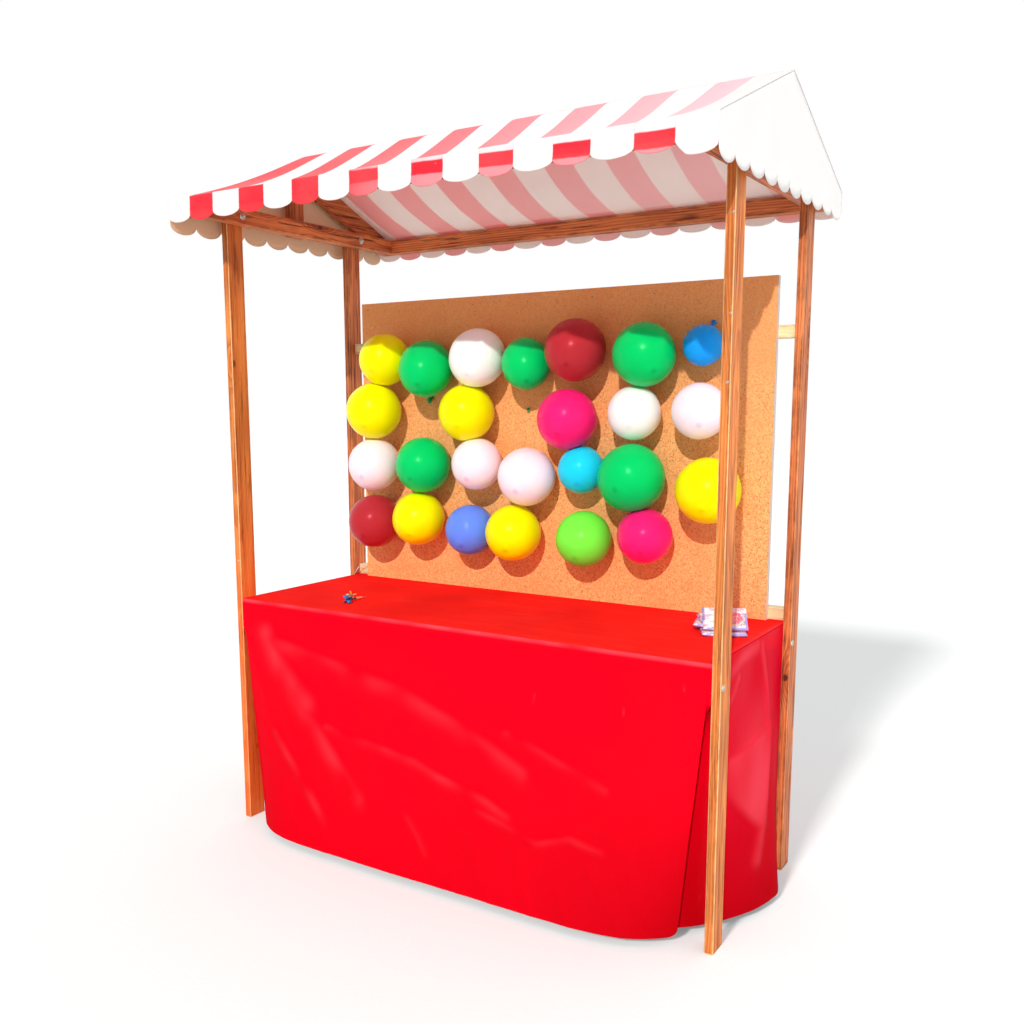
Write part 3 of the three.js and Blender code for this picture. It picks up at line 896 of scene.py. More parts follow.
@dataclass(frozen=True)
class LatexFinish(Finish):
    """Stretched latex, deeper in colour where it is thick at the tip and the neck."""

    skin: Colour
    thick: Colour
    radius: float
    roughness: float = 0.22
    milky: float = 0.45

    def lay(self, graph: Surface, place: Socket) -> None:
        """Lays out the nodes of one balloon, whose own Z axis runs from neck to tip.

        Args:
            graph: The nodes of the material.
            place: Coordinates on the surface.
        """
        height = graph.split(place)[2]
        flat = graph.vector("LENGTH", graph.stretch(place, (1, 1, 0)))
        neck = graph.remap(height, -1.28 * self.radius, -0.72 * self.radius, 1.0, 0.0, smooth=True)
        tip = graph.times(graph.remap(flat, 0.004, 0.016, 1.0, 0.0, smooth=True), graph.remap(
            height, 0.0, 0.5 * self.radius))
        thick = graph.larger(graph.times(neck, 0.85), graph.times(tip, 0.42))
        cloud = graph.times(graph.remap(graph.noise(place, 11.0, 3.0), 0.35, 0.75), 0.08)
        colour = graph.mix(graph.plus(thick, cloud, clamp=True), self.skin, self.thick)
        dust = graph.noise(place, 600.0, 2.0)
        graph.show({
            "Base Color": colour,
            "Roughness": graph.remap(dust, 0.3, 0.8, self.roughness, self.roughness + 0.12),
            "Normal": graph.bump(graph.noise(place, 9.0, 2.0), 0.004, 0.12),
            "Specular IOR Level": 0.2,
            "Specular Tint": [0.25 + 0.75 * c / max(self.skin) for c in self.skin],
            "Subsurface Weight": self.milky,
            "Subsurface Radius": (1.0, 0.25, 0.12),
            "Subsurface Scale": 0.35 * self.radius})


@dataclass(frozen=True)
class CorkFinish(Finish):
    """Pressed cork granules of two sizes."""

    pale: Colour = (0.98, 0.50, 0.19)
    middle: Colour = (0.80, 0.30, 0.095)
    dark: Colour = (0.40, 0.13, 0.04)
    granule: float = 0.0044

    def lay(self, graph: Surface, place: Socket) -> None:
        """Lays out the nodes of the cork sheets.

        Args:
            graph: The nodes of the material.
            place: Coordinates on the surface.
        """
        bent = graph.vector("ADD", place, graph.stretch(graph.add(
            "TexNoise", {"Vector": place, "Scale": 300.0}).outputs["Color"], (0.0016, 0.0016, 0.0016)))
        fine = graph.add("TexVoronoi", {"Vector": bent, "Scale": 1.0 / self.granule})
        flecks = graph.add("TexVoronoi", {"Vector": bent, "Scale": 0.33 / self.granule})
        shade = graph.add("SeparateColor", {0: fine.outputs["Color"]}).outputs[0]
        rare = graph.add("SeparateColor", {0: flecks.outputs["Color"]}).outputs[1]
        colour = graph.mix(graph.remap(shade, 0.1, 0.75), self.middle, self.pale)
        colour = graph.mix(graph.remap(shade, 0.86, 0.92, 0.0, 0.7), colour, self.dark)
        fleck = graph.times(graph.remap(rare, 0.965, 0.975), graph.remap(
            flecks.outputs["Distance"], 0.22, 0.36, 1.0, 0.0))
        colour = graph.mix(graph.times(fleck, 0.6), colour, self.dark)
        aged = graph.use(
            "tone_patches",
            {"Vector": place, "Color": colour, "Stain": (0.78, 0.28, 0.08), "Patch Size": 0.18,
             "Amount": 0.3})
        # Painted shade: the cork darkens towards the top, where the canopy's shadow falls.
        height = graph.split(place)[2]
        canopy_shade = graph.mix(graph.remap(height, 1.52, 1.98, 0.0, 0.62), aged["Color"], self.middle)
        graph.show({
            "Base Color": canopy_shade,
            "Roughness": graph.remap(shade, 0, 1, 0.72, 0.92),
            "Normal": graph.bump(fine.outputs["Distance"], 0.0009, 0.5)})


@dataclass(frozen=True)
class PaintFinish(Finish):
    """White-faced board, slightly marked by use."""

    face: Colour = (0.82, 0.81, 0.78)
    grime: Colour = (0.5, 0.44, 0.36)

    def lay(self, graph: Surface, place: Socket) -> None:
        """Lays out the nodes of the white board.

        Args:
            graph: The nodes of the material.
            place: Coordinates on the surface.
        """
        patches = graph.use("tone_patches", {
            "Vector": place, "Color": self.face, "Stain": self.grime, "Patch Size": 0.3, "Amount": 0.22})
        rolled = graph.noise(place, 420.0, 3.0)
        scuffs = graph.remap(graph.grain(place, (40.0, 40.0, 220.0), 4.0), 0.66, 0.74, 0.0, 0.4)
        graph.show({
            "Base Color": graph.mix(scuffs, patches["Color"], self.grime),
            "Roughness": graph.remap(rolled, 0.3, 0.7, 0.42, 0.6),
            "Normal": graph.bump(rolled, 0.0004, 0.4)})


@dataclass(frozen=True)
class PlasticFinish(Finish):
    """Moulded plastic with a faint flow pattern."""

    body: Colour
    roughness: float = 0.28
    through: float = 0.0

    def lay(self, graph: Surface, place: Socket) -> None:
        """Lays out the nodes of the part.

        Args:
            graph: The nodes of the material.
            place: Coordinates on the surface.
        """
        flow = graph.grain(place, (90.0, 90.0, 400.0), 3.0)
        colour = graph.mix(graph.remap(flow, 0.35, 0.7, 0.0, 0.35), self.body, [c * 0.6 for c in self.body])
        graph.show({
            "Base Color": colour,
            "Roughness": graph.remap(flow, 0.3, 0.7, self.roughness, self.roughness + 0.1),
            "Normal": graph.bump(flow, 0.0002, 0.3)})
        if self.through > 0:
            graph.let_light_through(self.through, self.body)


@dataclass(frozen=True)
class MetalFinish(Finish):
    """Turned or plated metal with fine tool marks."""

    body: Colour
    stain: Colour
    roughness: float = 0.32

    def lay(self, graph: Surface, place: Socket) -> None:
        """Lays out the nodes of the part.

        Args:
            graph: The nodes of the material.
            place: Coordinates on the surface.
        """
        marks = graph.grain(place, (700.0, 700.0, 2400.0), 2.0)
        spots = graph.remap(graph.noise(place, 160.0, 4.0), 0.5, 0.7)
        graph.show({
            "Base Color": graph.mix(spots, self.body, self.stain),
            "Metallic": graph.remap(spots, 0, 1, 1.0, 0.7),
            "Roughness": graph.remap(marks, 0.3, 0.7, self.roughness, self.roughness + 0.2),
            "Normal": graph.bump(marks, 0.0002, 0.3)})


@dataclass(frozen=True)
class PacketFinish(Finish):
    """Printed packet paper: a generic round blot, a ring of dots and a border on white."""

    length: float
    width: float
    paper: Colour = (0.93, 0.91, 0.95)
    blot: Colour = (0.90, 0.06, 0.13)
    line: Colour = (0.22, 0.20, 0.80)
    dot: Colour = (0.16, 0.07, 0.10)

    def lay(self, graph: Surface, place: Socket) -> None:
        """Lays out the nodes of a packet that is centred on its own origin.

        Args:
            graph: The nodes of the material.
            place: Coordinates on the surface.
        """
        parts = graph.split(place)
        along = graph.math("DIVIDE", graph.size(parts[0]), self.length / 2)
        across = graph.math("DIVIDE", graph.size(parts[1]), self.width / 2)
        flat = graph.stretch(graph.vector("SUBTRACT", place, (0.028, -0.004, 0.0)), (1, 1, 0))
        away = graph.plus(graph.vector("LENGTH", flat), graph.times(graph.noise(place, 55.0, 3.0), 0.020))
        blot = graph.remap(away, 0.042, 0.044, 1.0, 0.0)
        gaps = graph.times(graph.remap(graph.noise(place, 120.0, 2.0), 0.50, 0.53), 0.6)
        ring = graph.times(graph.remap(away, 0.049, 0.050), graph.remap(away, 0.055, 0.056, 1.0, 0.0))
        dots = graph.add("TexVoronoi", {"Vector": place, "Scale": 150.0, "Randomness": 0.4})
        dotted = graph.times(graph.remap(dots.outputs["Distance"], 0.42, 0.46, 1.0, 0.0), ring)
        rim = graph.larger(along, across)
        rim = graph.times(
            graph.remap(rim, 0.88, 0.90), graph.remap(graph.noise(place, 40.0, 2.0), 0.40, 0.5, 0.15, 0.85))
        splash = graph.remap(graph.grain(place, (34.0, 70.0, 34.0), 3.0), 0.50, 0.56, 0.0, 0.7)
        colour = graph.mix(splash, self.paper, (0.93, 0.26, 0.36))
        colour = graph.mix(blot, colour, graph.mix(gaps, self.blot, (0.95, 0.45, 0.52)))
        colour = graph.mix(dotted, colour, self.dot)
        colour = graph.mix(rim, colour, self.line)
        patches = graph.use("tone_patches", {
            "Vector": place, "Color": colour, "Stain": (0.6, 0.58, 0.6), "Patch Size": 0.05, "Amount": 0.2})
        wrinkles = graph.noise(place, 75.0, 4.0, 0.6)
        graph.show({
            "Base Color": patches["Color"],
            "Roughness": graph.remap(wrinkles, 0.3, 0.7, 0.3, 0.5),
            "Normal": graph.bump(wrinkles, 0.0025, 0.5)})


# ---------------- the timber frame


@dataclass
class TimberFrame:
    """Posts, trusses, roof beams and counter frame, with their bolts."""

    stain: TimberFinish = TimberFinish(
        (0.99, 0.34, 0.080), (0.50, 0.105, 0.020), (0.11, 0.018, 0.005), (1.0, 0.66, 0.31), wear=0.72)
    red_bounce_colour: Colour = (1.0, 0.12, 0.012)
    # A darker copy of the stain for all timbers but the front posts and the counter: its darker colours are
    # painted shade.
    shade_stain: TimberFinish = TimberFinish(
        (0.88, 0.29, 0.095), (0.36, 0.070, 0.022), (0.070, 0.012, 0.006), (0.95, 0.48, 0.20), knots=1.4,
        wear=0.35)
    steel: MetalFinish = MetalFinish((0.62, 0.6, 0.57), (0.3, 0.24, 0.2))
    chord_bolt_height: float = 2.424
    bearer_bolt_height: float = 0.858
    screws: tuple[Point, ...] = (
        (1.022, -0.388, 2.238), (1.024, -0.388, 1.961), (1.020, -0.388, 1.768), (-1.012, -0.388, 1.086))
    bolt_radius: float = 0.0085
    screw_radius: float = 0.0042
    bolt_y: float = 0.348
    bearer_bolt_shift: float = -0.022

    def grain_axis(self, node: str) -> Axis:
        """Direction of the fibres of a timber, told from what it is."""
        deep = any(word in node for word in ("chord", "rafter", "bearer"))
        return Axis.Z if "post" in node else Axis.Y if deep else Axis.X

    def dress(self) -> None:
        """Gives each timber of the frame its own grain."""
        words = (
            "post_", "truss_chord", "rafter", "eave_beam", "ridge_beam", "counter_bearer", "counter_rail")
        timbers = sorted(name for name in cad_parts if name.startswith(words) or "king_post" in name)
        for number, name in enumerate(timbers):
            # The front posts and the counter take the plain stain; the other timbers take the darker copy
            # as painted shade.
            stain = self.stain if name.startswith(("post_front", "counter")) else self.shade_stain
            # The front left post gets a painted red reflection of the cloth low down.
            if name == "post_front_left":
                stain = replace(stain, red_bounce=self.red_bounce_colour)
            finish = stain.material(f"stained_{name}", self.grain_axis(name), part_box(name), number)
            dress(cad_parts[name], finish)
            LOG.info("%s: stained softwood", name)

    def hex_nut(self, name: str, at: Vector, outward: Vector) -> Piece:
        """Makes a washer, a nut and the end of its bolt, standing on a face.

        Args:
            name: Name of the piece.
            at: Middle of the washer's back, on the face.
            outward: Direction that the face looks in.

        Returns:
            The joined piece.
        """
        r = self.bolt_radius
        place = facing(outward, at)
        washer = lathe("washer", [
            (0, 0), (1.55 * r, 0), (1.65 * r, 0.0006), (1.6 * r, 0.0017), (0, 0.0017)], 28, place)
        nut = lathe("nut", [(0, 0.0017), (r, 0.0017), (1.12 * r, 0.0028), (1.12 * r, 0.0075),
                            (0.98 * r, 0.0088), (0, 0.0088)], 6, place, smooth=False)
        end = lathe(
            "end", [(0.55 * r, 0.0085), (0.55 * r, 0.0118), (0.42 * r, 0.0132), (0, 0.0132)], 14, place)
        return join(name, [washer, nut, end])

    def dome_head(self, name: str, at: Vector, outward: Vector) -> Piece:
        """Makes the domed head of a coach bolt.

        Args:
            name: Name of the piece.
            at: Middle of its back, on the face.
            outward: Direction that the face looks in.

        Returns:
            The head.
        """
        turns = [step * math.pi / 14 for step in range(7, -1, -1)]
        arc = [(1.35 * self.bolt_radius * math.sin(turn), 0.0045 * math.cos(turn)) for turn in turns]
        return lathe(name, arc, 24, facing(outward, at))

    def screw_head(self, name: str, at: Vector, outward: Vector) -> Piece:
        """Makes a countersunk screw head with a cross-shaped recess, flush with a face.

        Args:
            name: Name of the piece.
            at: Its middle, on the face.
            outward: Direction that the face looks in.

        Returns:
            The head.
        """
        place, r, count = facing(outward, at), self.screw_radius, 32
        recess = ring(0.55 * r, 0.0005, count)
        for step, point in enumerate(recess):
            if abs(math.sin(2 * math.tau * step / count)) < 0.42:
                point.z = -0.0006
        points = [Vector((0, 0, -0.0008)), *recess, *ring(0.8 * r, 0.0007, count), *ring(r, 0.0004, count),
                  *ring(r, 0.0, count)]
        faces = [(0, 1 + step, 1 + (step + 1) % count) for step in range(count)]
        faces += grid_faces(count, 4, first=1, closed=True)
        return mesh_piece(name, [place @ point for point in points], faces)

    def bolts(self) -> list[Piece]:
        """Bolts every chord and bearer to its posts, with nuts inside and domed heads outside.

        Returns:
            The bolts, nuts and screws, with left or right in each name.
        """
        made = []
        finish = self.steel.material("zinc_plated_steel")
        for number, at in enumerate(self.screws):
            word = "right" if at[0] > 0 else "left"
            made.append(self.screw_head(f"screw_{number}_{word}", at, (0, -1, 0)))
        for side, word in SIDES:
            inner, outer = (0, 1) if side > 0 else (1, 0)
            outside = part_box(f"post_front_{word}")[outer].x
            rows = (("truss_chord", self.chord_bolt_height, 0.0),
                    ("counter_bearer", self.bearer_bolt_height, self.bearer_bolt_shift))
            for end, tag in ((-1, "front"), (1, "rear")):
                for row, (timber, height, shift) in enumerate(rows):
                    inside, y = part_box(f"{timber}_{word}")[inner].x, end * self.bolt_y + shift
                    made.append(self.hex_nut(f"nut_{row}_{word}_{tag}", (inside, y, height), (-side, 0, 0)))
                    made.append(
                        self.dome_head(f"bolt_{row}_{word}_{tag}", (outside, y, height), (side, 0, 0)))
        for piece in made:
            dress(piece, finish)
        return made

    def build(self) -> None:
        """Dresses the timbers and fits the bolts as one piece a side."""
        self.dress()
        bolts = self.bolts()
        sides = {word: [bolt for bolt in bolts if word in bolt.name] for _, word in SIDES}
        for word, side in sides.items():
            declare(join(f"fasteners_{word}", side), "bolt_steel")


# ---------------- the canopy


@dataclass
class Canopy:
    """One striped sheet over the ridge with scalloped valances, and two plain gable cloths."""

    half_width: float = 1.06
    first_edge: float = -0.944
    red_width: float = 0.120
    white_width: float = 0.132
    notch: float = 2.390
    drop: float = 0.023
    gable_notch: float = 2.376
    gable_drop: float = 0.033
    loose_end: float = 0.018
    gable_rise: float = 0.0133
    ridge: float = 2.7084
    eave: float = 2.4544
    eave_out: float = 0.6096
    slope_depth: float = 0.6076
    beam_edge: float = 0.0235
    sag: float = 0.052
    thickness: float = 0.0012
    outer: CanopyFinish = CanopyFinish((0.98, 0.004, 0.027), (0.94, 0.94, 0.94), sheen_colour=(0.98, 0.66, 0.74))
    # The inside's glow band is painted light coming through the cloth above the eave beams.
    inner: CanopyFinish = CanopyFinish((0.93, 0.74, 0.73), (1.0, 0.98, 0.93), glow_band=(0.92, 0.07, 0.06),
                                       through=0.62, glow=(1.0, 0.93, 0.91))
    gable: CanopyFinish = CanopyFinish(
        (0.9, 0.9, 0.9), (0.97, 0.97, 0.97), striped=False, stain=(0.84, 0.90, 0.94), through=0.12,
        glow=(0.9, 0.8, 0.7))
    # The inside of the white gable cloths is peach: painted warm light coming through the cloth.
    gable_inner: CanopyFinish = CanopyFinish(
        (0.9, 0.9, 0.9), (0.95, 0.72, 0.50), striped=False, through=0.3, glow=(0.95, 0.68, 0.46))

    def stripe_edges(self) -> list[float]:
        """Finds where two stripes, and so two scallops, meet.

        Returns:
            Places across the canopy.
        """
        edges = []
        for k in range(8):
            left = self.first_edge + k * (self.red_width + self.white_width)
            edges += [left, left + self.red_width]
        return [-self.half_width, *edges, self.half_width]

    def columns(self) -> list[tuple[float, float]]:
        """Lists the columns of points that the cover is made of.

        Returns:
            Places across the canopy, each with the share of the full drop that the hem has there.
        """
        made, steps = [], 14
        edges = self.stripe_edges()
        for left, right in zip(edges, edges[1:]):
            for step in range(steps):
                share, reach = scallop(math.pi * step / steps)
                made.append((left + (right - left) * share, reach))
        made.append((self.half_width, 0.0))
        return made

    def slack(self, x: float, share: float) -> float:
        """How far the slope hangs below the straight line from ridge to eave.

        Args:
            x: Place across the canopy.
            share: Place down the slope, 0 at the ridge beam's edge and 1 at the eave.

        Returns:
            The drop in metres.
        """
        across = max(0.0, 1 - x ** 2) ** 0.6
        return self.sag * across * math.sin(math.pi * clamped(share) ** 1.1)

    def pucker(self, x: float, y: float) -> float:
        """Small unevenness of the hanging cloth, in metres."""
        return 0.004 * uneven(x * 2.3, y * 3.1, 0.7) + 0.0016 * noise.noise(Vector((x * 9.0, y * 7.0, 3.1)))

    def slope_points(self, x: float, end: int, rows: int) -> list[Vector]:
        """Lists the points of one slope from the ridge to where the eave's bend starts.

        Args:
            x: Place across the canopy.
            end: -1 for the front slope and 1 for the rear one.
            rows: Points down the slope.

        Returns:
            The points.
        """
        points = []
        free = max(0.0, 1 - abs(x) ** 4)
        for row in range(rows):
            y = self.eave_out * row / rows
            straight = self.ridge + 0.0012 - (self.ridge - self.eave) * y / self.slope_depth
            share = (y - self.beam_edge) / (self.slope_depth - self.beam_edge)
            height = straight - self.slack(x, share)
            if 0.12 < share < 0.9:
                height += self.pucker(x, end * y) * free * math.sin(math.pi * share)
            points.append(Vector((x, end * y, height)))
        return points

    def valance_points(self, x: float, reach: float, end: int, rows: int) -> list[Vector]:
        """Lists the points from the eave's bend down to the hem.

        Args:
            x: Place across the canopy.
            reach: Share of the full scallop drop that the hem has here.
            end: -1 for the front valance and 1 for the rear one.
            rows: Points down the valance.

        Returns:
            The points.
        """
        lip = 0.0065
        points = []
        wave = 0.5 + 0.5 * uneven(x * 3.0, end * 2.0, 1.3)
        for turn in (20, 42, 64, 86):
            angle = math.radians(turn)
            out = self.eave_out - 0.0052 + lip * math.sin(angle)
            points.append(Vector((x, end * out, self.eave + 0.0012 - lip + lip * math.cos(angle))))
        top = points[-1].z
        hem = self.notch - self.drop * reach
        if end < 0:
            hem -= self.loose_end * clamped((x - 0.945) / 0.03)
        for row in range(1, rows + 1):
            share = row / rows
            z = top + (hem - top) * share
            fall = (top - z) / (top - self.notch + self.drop)
            kick = 0.016 * max(0.0, fall - 0.52) * (0.35 + wave) * min(1.0, max(0.25, 0.9 + x))
            fold = 0.0012 * math.exp(-((fall - 0.50) / 0.045) ** 2)
            roll = 0.0016 * uneven(x * 11.0, z * 13.0, end * 5.0)
            out = self.eave_out + 0.0013 + kick + fold + roll * min(1.0, 3 * share)
            points.append(Vector((x, end * out, z)))
        return points

    def roof_sheet(self) -> Piece:
        """Makes the whole striped sheet, from the front hem over the ridge to the rear hem.

        Returns:
            The sheet.
        """
        strips = []
        for x, reach in self.columns():
            front = self.slope_points(x, -1, 26)[1:] + self.valance_points(x, reach, -1, 16)
            rear = self.slope_points(x, 1, 26) + self.valance_points(x, reach, 1, 16)
            strips.append([*reversed(front), *rear])
        sheet = mesh_piece("canopy_cover", by_rows(strips), grid_faces(len(strips), len(strips[0])))
        dress(sheet, self.outer.material("canopy_stripe_outside"),
              self.inner.material("canopy_stripe_inside"))
        solidify(sheet, self.thickness, inner_slot=1)
        return sheet

    def gable_sheet(self, side: int, word: str) -> Piece:
        """Makes one gable cloth, sewn along the roof line and scalloped along its hem.

        Args:
            side: -1 for the left gable and 1 for the right one.
            word: The same as a word.

        Returns:
            The cloth.
        """
        scallops, steps, rows = 10, 12, 12
        pitch = 2 * self.slope_depth / scallops
        strips = []
        for i in range(scallops * steps + 1):
            share, reach = scallop(math.pi * ((i % steps) / steps))
            y = -self.slope_depth + pitch * (i // steps + share)
            top = self.ridge - (self.ridge - self.eave) * abs(y) / self.slope_depth
            hem = self.gable_notch + self.gable_rise * y - self.gable_drop * reach
            strip = []
            for row in range(rows + 1):
                z = hem + (top - hem) * row / rows
                hang = (top - z) / max(1e-6, top - self.gable_notch + self.gable_drop)
                roll = 0.0022 * uneven(y * 7.0, z * 4.0, side * 9.0)
                x = self.half_width - 0.0014 + 0.0012 * hang + roll * min(1.0, 2 * hang)
                strip.append(Vector((side * x, y, z)))
            strips.append(strip)
        cloth = mesh_piece(
            f"gable_{word}", by_rows(strips), grid_faces(len(strips), rows + 1, flip=side < 0))
        dress(cloth, self.gable.material(f"gable_{word}_outside"), self.gable_inner.material(
            f"gable_{word}_inside"))
        solidify(cloth, self.thickness, inner_slot=1)
        return cloth

    def build(self) -> None:
        cover = self.roof_sheet()
        declare(cover, "canopy_stripe", "canopy_slope_front", "canopy_slope_rear", "valance_front",
                "valance_rear")
        for side, word in SIDES:
            cloth = self.gable_sheet(side, word)
            declare(cloth, "canopy_white", f"gable_cloth_{word}")


# ---------------- the counter and its cloth


@dataclass(frozen=True)
class Crease:
    """A soft ridge or valley in hanging cloth, along a line of points in the plane of the panel."""

    line: tuple[tuple[float, float], ...]
    height: float
    width: float
    lean: float = 0.0

    def at(self, x: float, z: float) -> float:
        """Height of the crease at a place on the panel.

        Args:
            x: Place along the panel, in metres.
            z: Height above the ground.

        Returns:
            How far the cloth stands out there, in metres.
        """
        best = 0.0
        for (x0, z0), (x1, z1) in zip(self.line, self.line[1:]):
            dx, dz = x1 - x0, z1 - z0
            long = math.hypot(dx, dz)
            share = ((x - x0) * dx + (z - z0) * dz) / (long * long)
            inside = clamped(share)
            away = math.hypot(x - x0 - inside * dx, z - z0 - inside * dz)
            if away > 3.2 * self.width:
                continue
            side = ((x - x0) * dz - (z - z0) * dx) / long
            skew = 1.0 + self.lean * math.tanh(side / self.width)
            value = self.height * math.exp(-(away / (self.width * skew)) ** 2)
            if abs(value) > abs(best):
                best = value
        return best


@dataclass
class CounterCloth:
    """A loose plastic-coated cloth over the counter: a long sheet with two side sheets."""

    finish: TableClothFinish = TableClothFinish()
    top: float = 0.9328
    hem: float = 0.030
    edge: float = 0.3868
    half_top: float = 0.998
    taper: float = 0.090
    flare: float = 0.140
    corner: tuple[float, float] = (0.065, 0.020)
    side_half: float = 0.305
    side_out: float = 1.0016
    bulge: float = 0.088
    tuck: float = 0.075
    fold_y: float = 0.07
    front_creases: tuple[Crease, ...] = (
        Crease(((-0.85, 0.81), (-0.78, 0.71), (-0.66, 0.615), (-0.60, 0.57)), 0.012, 0.050, 0.4),
        Crease(((-0.66, 0.58), (-0.54, 0.48), (-0.42, 0.36), (-0.31, 0.27)), 0.008, 0.032, 0.5),
        Crease(((-0.76, 0.43), (-0.69, 0.36), (-0.61, 0.29), (-0.47, 0.15)), 0.009, 0.020, 0.4),
        Crease(((-0.84, 0.79), (-0.55, 0.745), (-0.16, 0.685), (0.10, 0.60), (0.37, 0.495)), 0.007, 0.030,
               0.6),
        Crease(((-0.50, 0.50), (-0.07, 0.445), (0.03, 0.412), (0.23, 0.37), (0.33, 0.335)), 0.006, 0.018,
               0.5),
        Crease(((-0.10, 0.25), (-0.04, 0.19), (0.0, 0.13)), 0.0035, 0.014, -0.4),
        Crease(((0.30, 0.61), (0.42, 0.575), (0.55, 0.535), (0.68, 0.49)), 0.005, 0.016, 0.5),
        Crease(((0.20, 0.33), (0.31, 0.31), (0.45, 0.272), (0.57, 0.315), (0.68, 0.29)), 0.005, 0.014, 0.4),
    )
    side_creases: tuple[Crease, ...] = (
        Crease(((0.08, 0.90), (0.075, 0.77), (0.04, 0.52), (-0.03, 0.30), (-0.07, 0.20)), 0.007, 0.024),
        Crease(((-0.27, 0.80), (-0.24, 0.86), (-0.12, 0.895), (0.03, 0.905)), 0.005, 0.026),
        Crease(((-0.30, 0.74), (-0.22, 0.78), (-0.16, 0.84)), 0.004, 0.018),
    )
    side_facet: tuple[tuple[float, float], ...] = ((-0.33, 0.56), (0.075, 0.64), (-0.035, 0.29))

    def facet(self, y: float, z: float) -> float:
        """Share of the flat facet between the folds of a side sheet, which is raised and carries painted
        sheen.

        Args:
            y: Place along the sheet.
            z: Height above the ground.

        Returns:
            1 inside the facet, 0 outside it and between them along its edges.
        """
        inside = 1.0
        corners = self.side_facet
        for (y0, z0), (y1, z1) in zip(corners, corners[1:] + corners[:1]):
            away = ((y1 - y0) * (z - z0) - (z1 - z0) * (y - y0)) / math.hypot(y1 - y0, z1 - z0)
            inside = min(inside, 0.5 - away / 0.035)
        return eased(clamped(inside))

    def store_sheen(self, piece: Piece, shares: Sequence[float]) -> None:
        """Stores on a sheet its painted sheen: the share of the pale colour at each point.

        Args:
            piece: The sheet.
            shares: One share for each vertex.
        """
        stored = piece.data.attributes.new("rubbed", "FLOAT", "POINT")
        stored.data.foreach_set("value", [clamped(share) for share in shares])

    def wrinkles(self, x: float, z: float, seed: float) -> float:
        """Fine unevenness of a hanging panel: long soft swells and small crumples.

        Args:
            x: Place along the panel.
            z: Height above the ground.
            seed: Number that tells one panel from another.

        Returns:
            Height in metres.
        """
        bent = Vector((
            x + 0.06 * uneven(x * 2.1, z * 2.7, seed), z + 0.05 * uneven(x * 2.6, z * 2.2, seed + 9), seed))
        swell = uneven(bent.x * 2.6, bent.y * 1.7, seed)
        fold = 1 - abs(uneven(bent.x * 6.5 + bent.y * 3.0, bent.y * 3.2, seed + 4))
        crumple = 1 - abs(uneven(bent.x * 15.0 - bent.y * 6.0, bent.y * 9.0, seed + 7))
        return 0.005 * swell + 0.0022 * fold ** 6 + 0.0009 * crumple ** 5

    def hem_lift(self, u: float) -> float:
        """How far the hem is cut away above its line, near the rounded corners of a panel.

        Args:
            u: Place along the panel, from -1 at the left to 1 at the right.

        Returns:
            The height in metres.
        """
        radius = self.corner[0 if u < 0 else 1]
        from_edge = (1 - abs(u)) * (self.half_top - self.taper)
        if from_edge >= radius:
            return 0.0
        return radius - math.sqrt(max(0.0, radius ** 2 - (radius - from_edge) ** 2))

    def panel_point(self, u: float, v: float, end: int) -> Vector:
        """A point of the front or rear panel.

        Args:
            u: Place along the panel, from -1 at the left to 1 at the right.
            v: Place down the panel, 0 at the counter's edge and 1 at the hem.
            end: -1 for the front panel and 1 for the rear one.

        Returns:
            The point.
        """
        start = self.top - 0.005
        z = start - (start - self.hem - self.hem_lift(u)) * v
        down = (start - z) / (start - self.hem)
        x = u * (self.half_top - self.taper * down)
        out = self.edge + self.flare * down * (1 - u ** 8)
        out += 0.0025 * math.exp(-((z - 0.917) / 0.007) ** 2) * (1 - u ** 6)
        free = min(1.0, down * 9.0)
        shape = self.wrinkles(x, z, 2.0 if end < 0 else 31.0)
        if end < 0:
            shape += sum(crease.at(x, z) for crease in self.front_creases)
        out += free * max(-0.012, shape)
        return Vector((x, end * out, z))

    def top_point(self, u: float, y: float) -> Vector:
        """A point of the sheet where it lies on the counter top.

        Args:
            u: Place along the counter, from -1 at the left to 1 at the right.
            y: Place across it, in metres.

        Returns:
            The point.
        """
        x = u * (self.half_top + 0.001)
        dent = 0.0009 * max(0.0, uneven(x * 5.0, y * 7.0, 4.0))
        dent += 0.0005 * max(0.0, uneven(x * 17.0, y * 21.0, 8.0))
        return Vector((x, y, self.top - dent))

    def long_sheet(self) -> Piece:
        """Makes the sheet that runs from the front hem over the counter to the rear hem.

        Returns:
            The sheet.
        """
        columns, radius = 261, 0.005
        front_rows, top_rows, rear_rows, crowding = 150, 64, 70, math.pi / 2
        inner = self.edge - radius
        strips = []
        for column in range(columns):
            u = math.sin(crowding * (2 * column / (columns - 1) - 1) * 0.94) / math.sin(crowding * 0.94)
            bend = []
            for turn in (0, 22, 45, 68, 90):
                rise, back = math.sin(math.radians(turn)), 1 - math.cos(math.radians(turn))
                bend.append(Vector((u * (self.half_top + 0.001 * rise), -self.edge + radius * back,
                                    self.top - radius + radius * rise)))
            strips.append([
                *(self.panel_point(u, 1 - row / front_rows, -1) for row in range(front_rows)), *bend,
                *(self.top_point(u, -inner + 2 * inner * row / top_rows) for row in range(1, top_rows)),
                *(Vector((point.x, -point.y, point.z)) for point in reversed(bend)),
                *(self.panel_point(u, row / rear_rows, 1) for row in range(1, rear_rows + 1))])
        points = by_rows(strips)
        sheet = mesh_piece("table_cloth", points, grid_faces(columns, len(strips[0])))
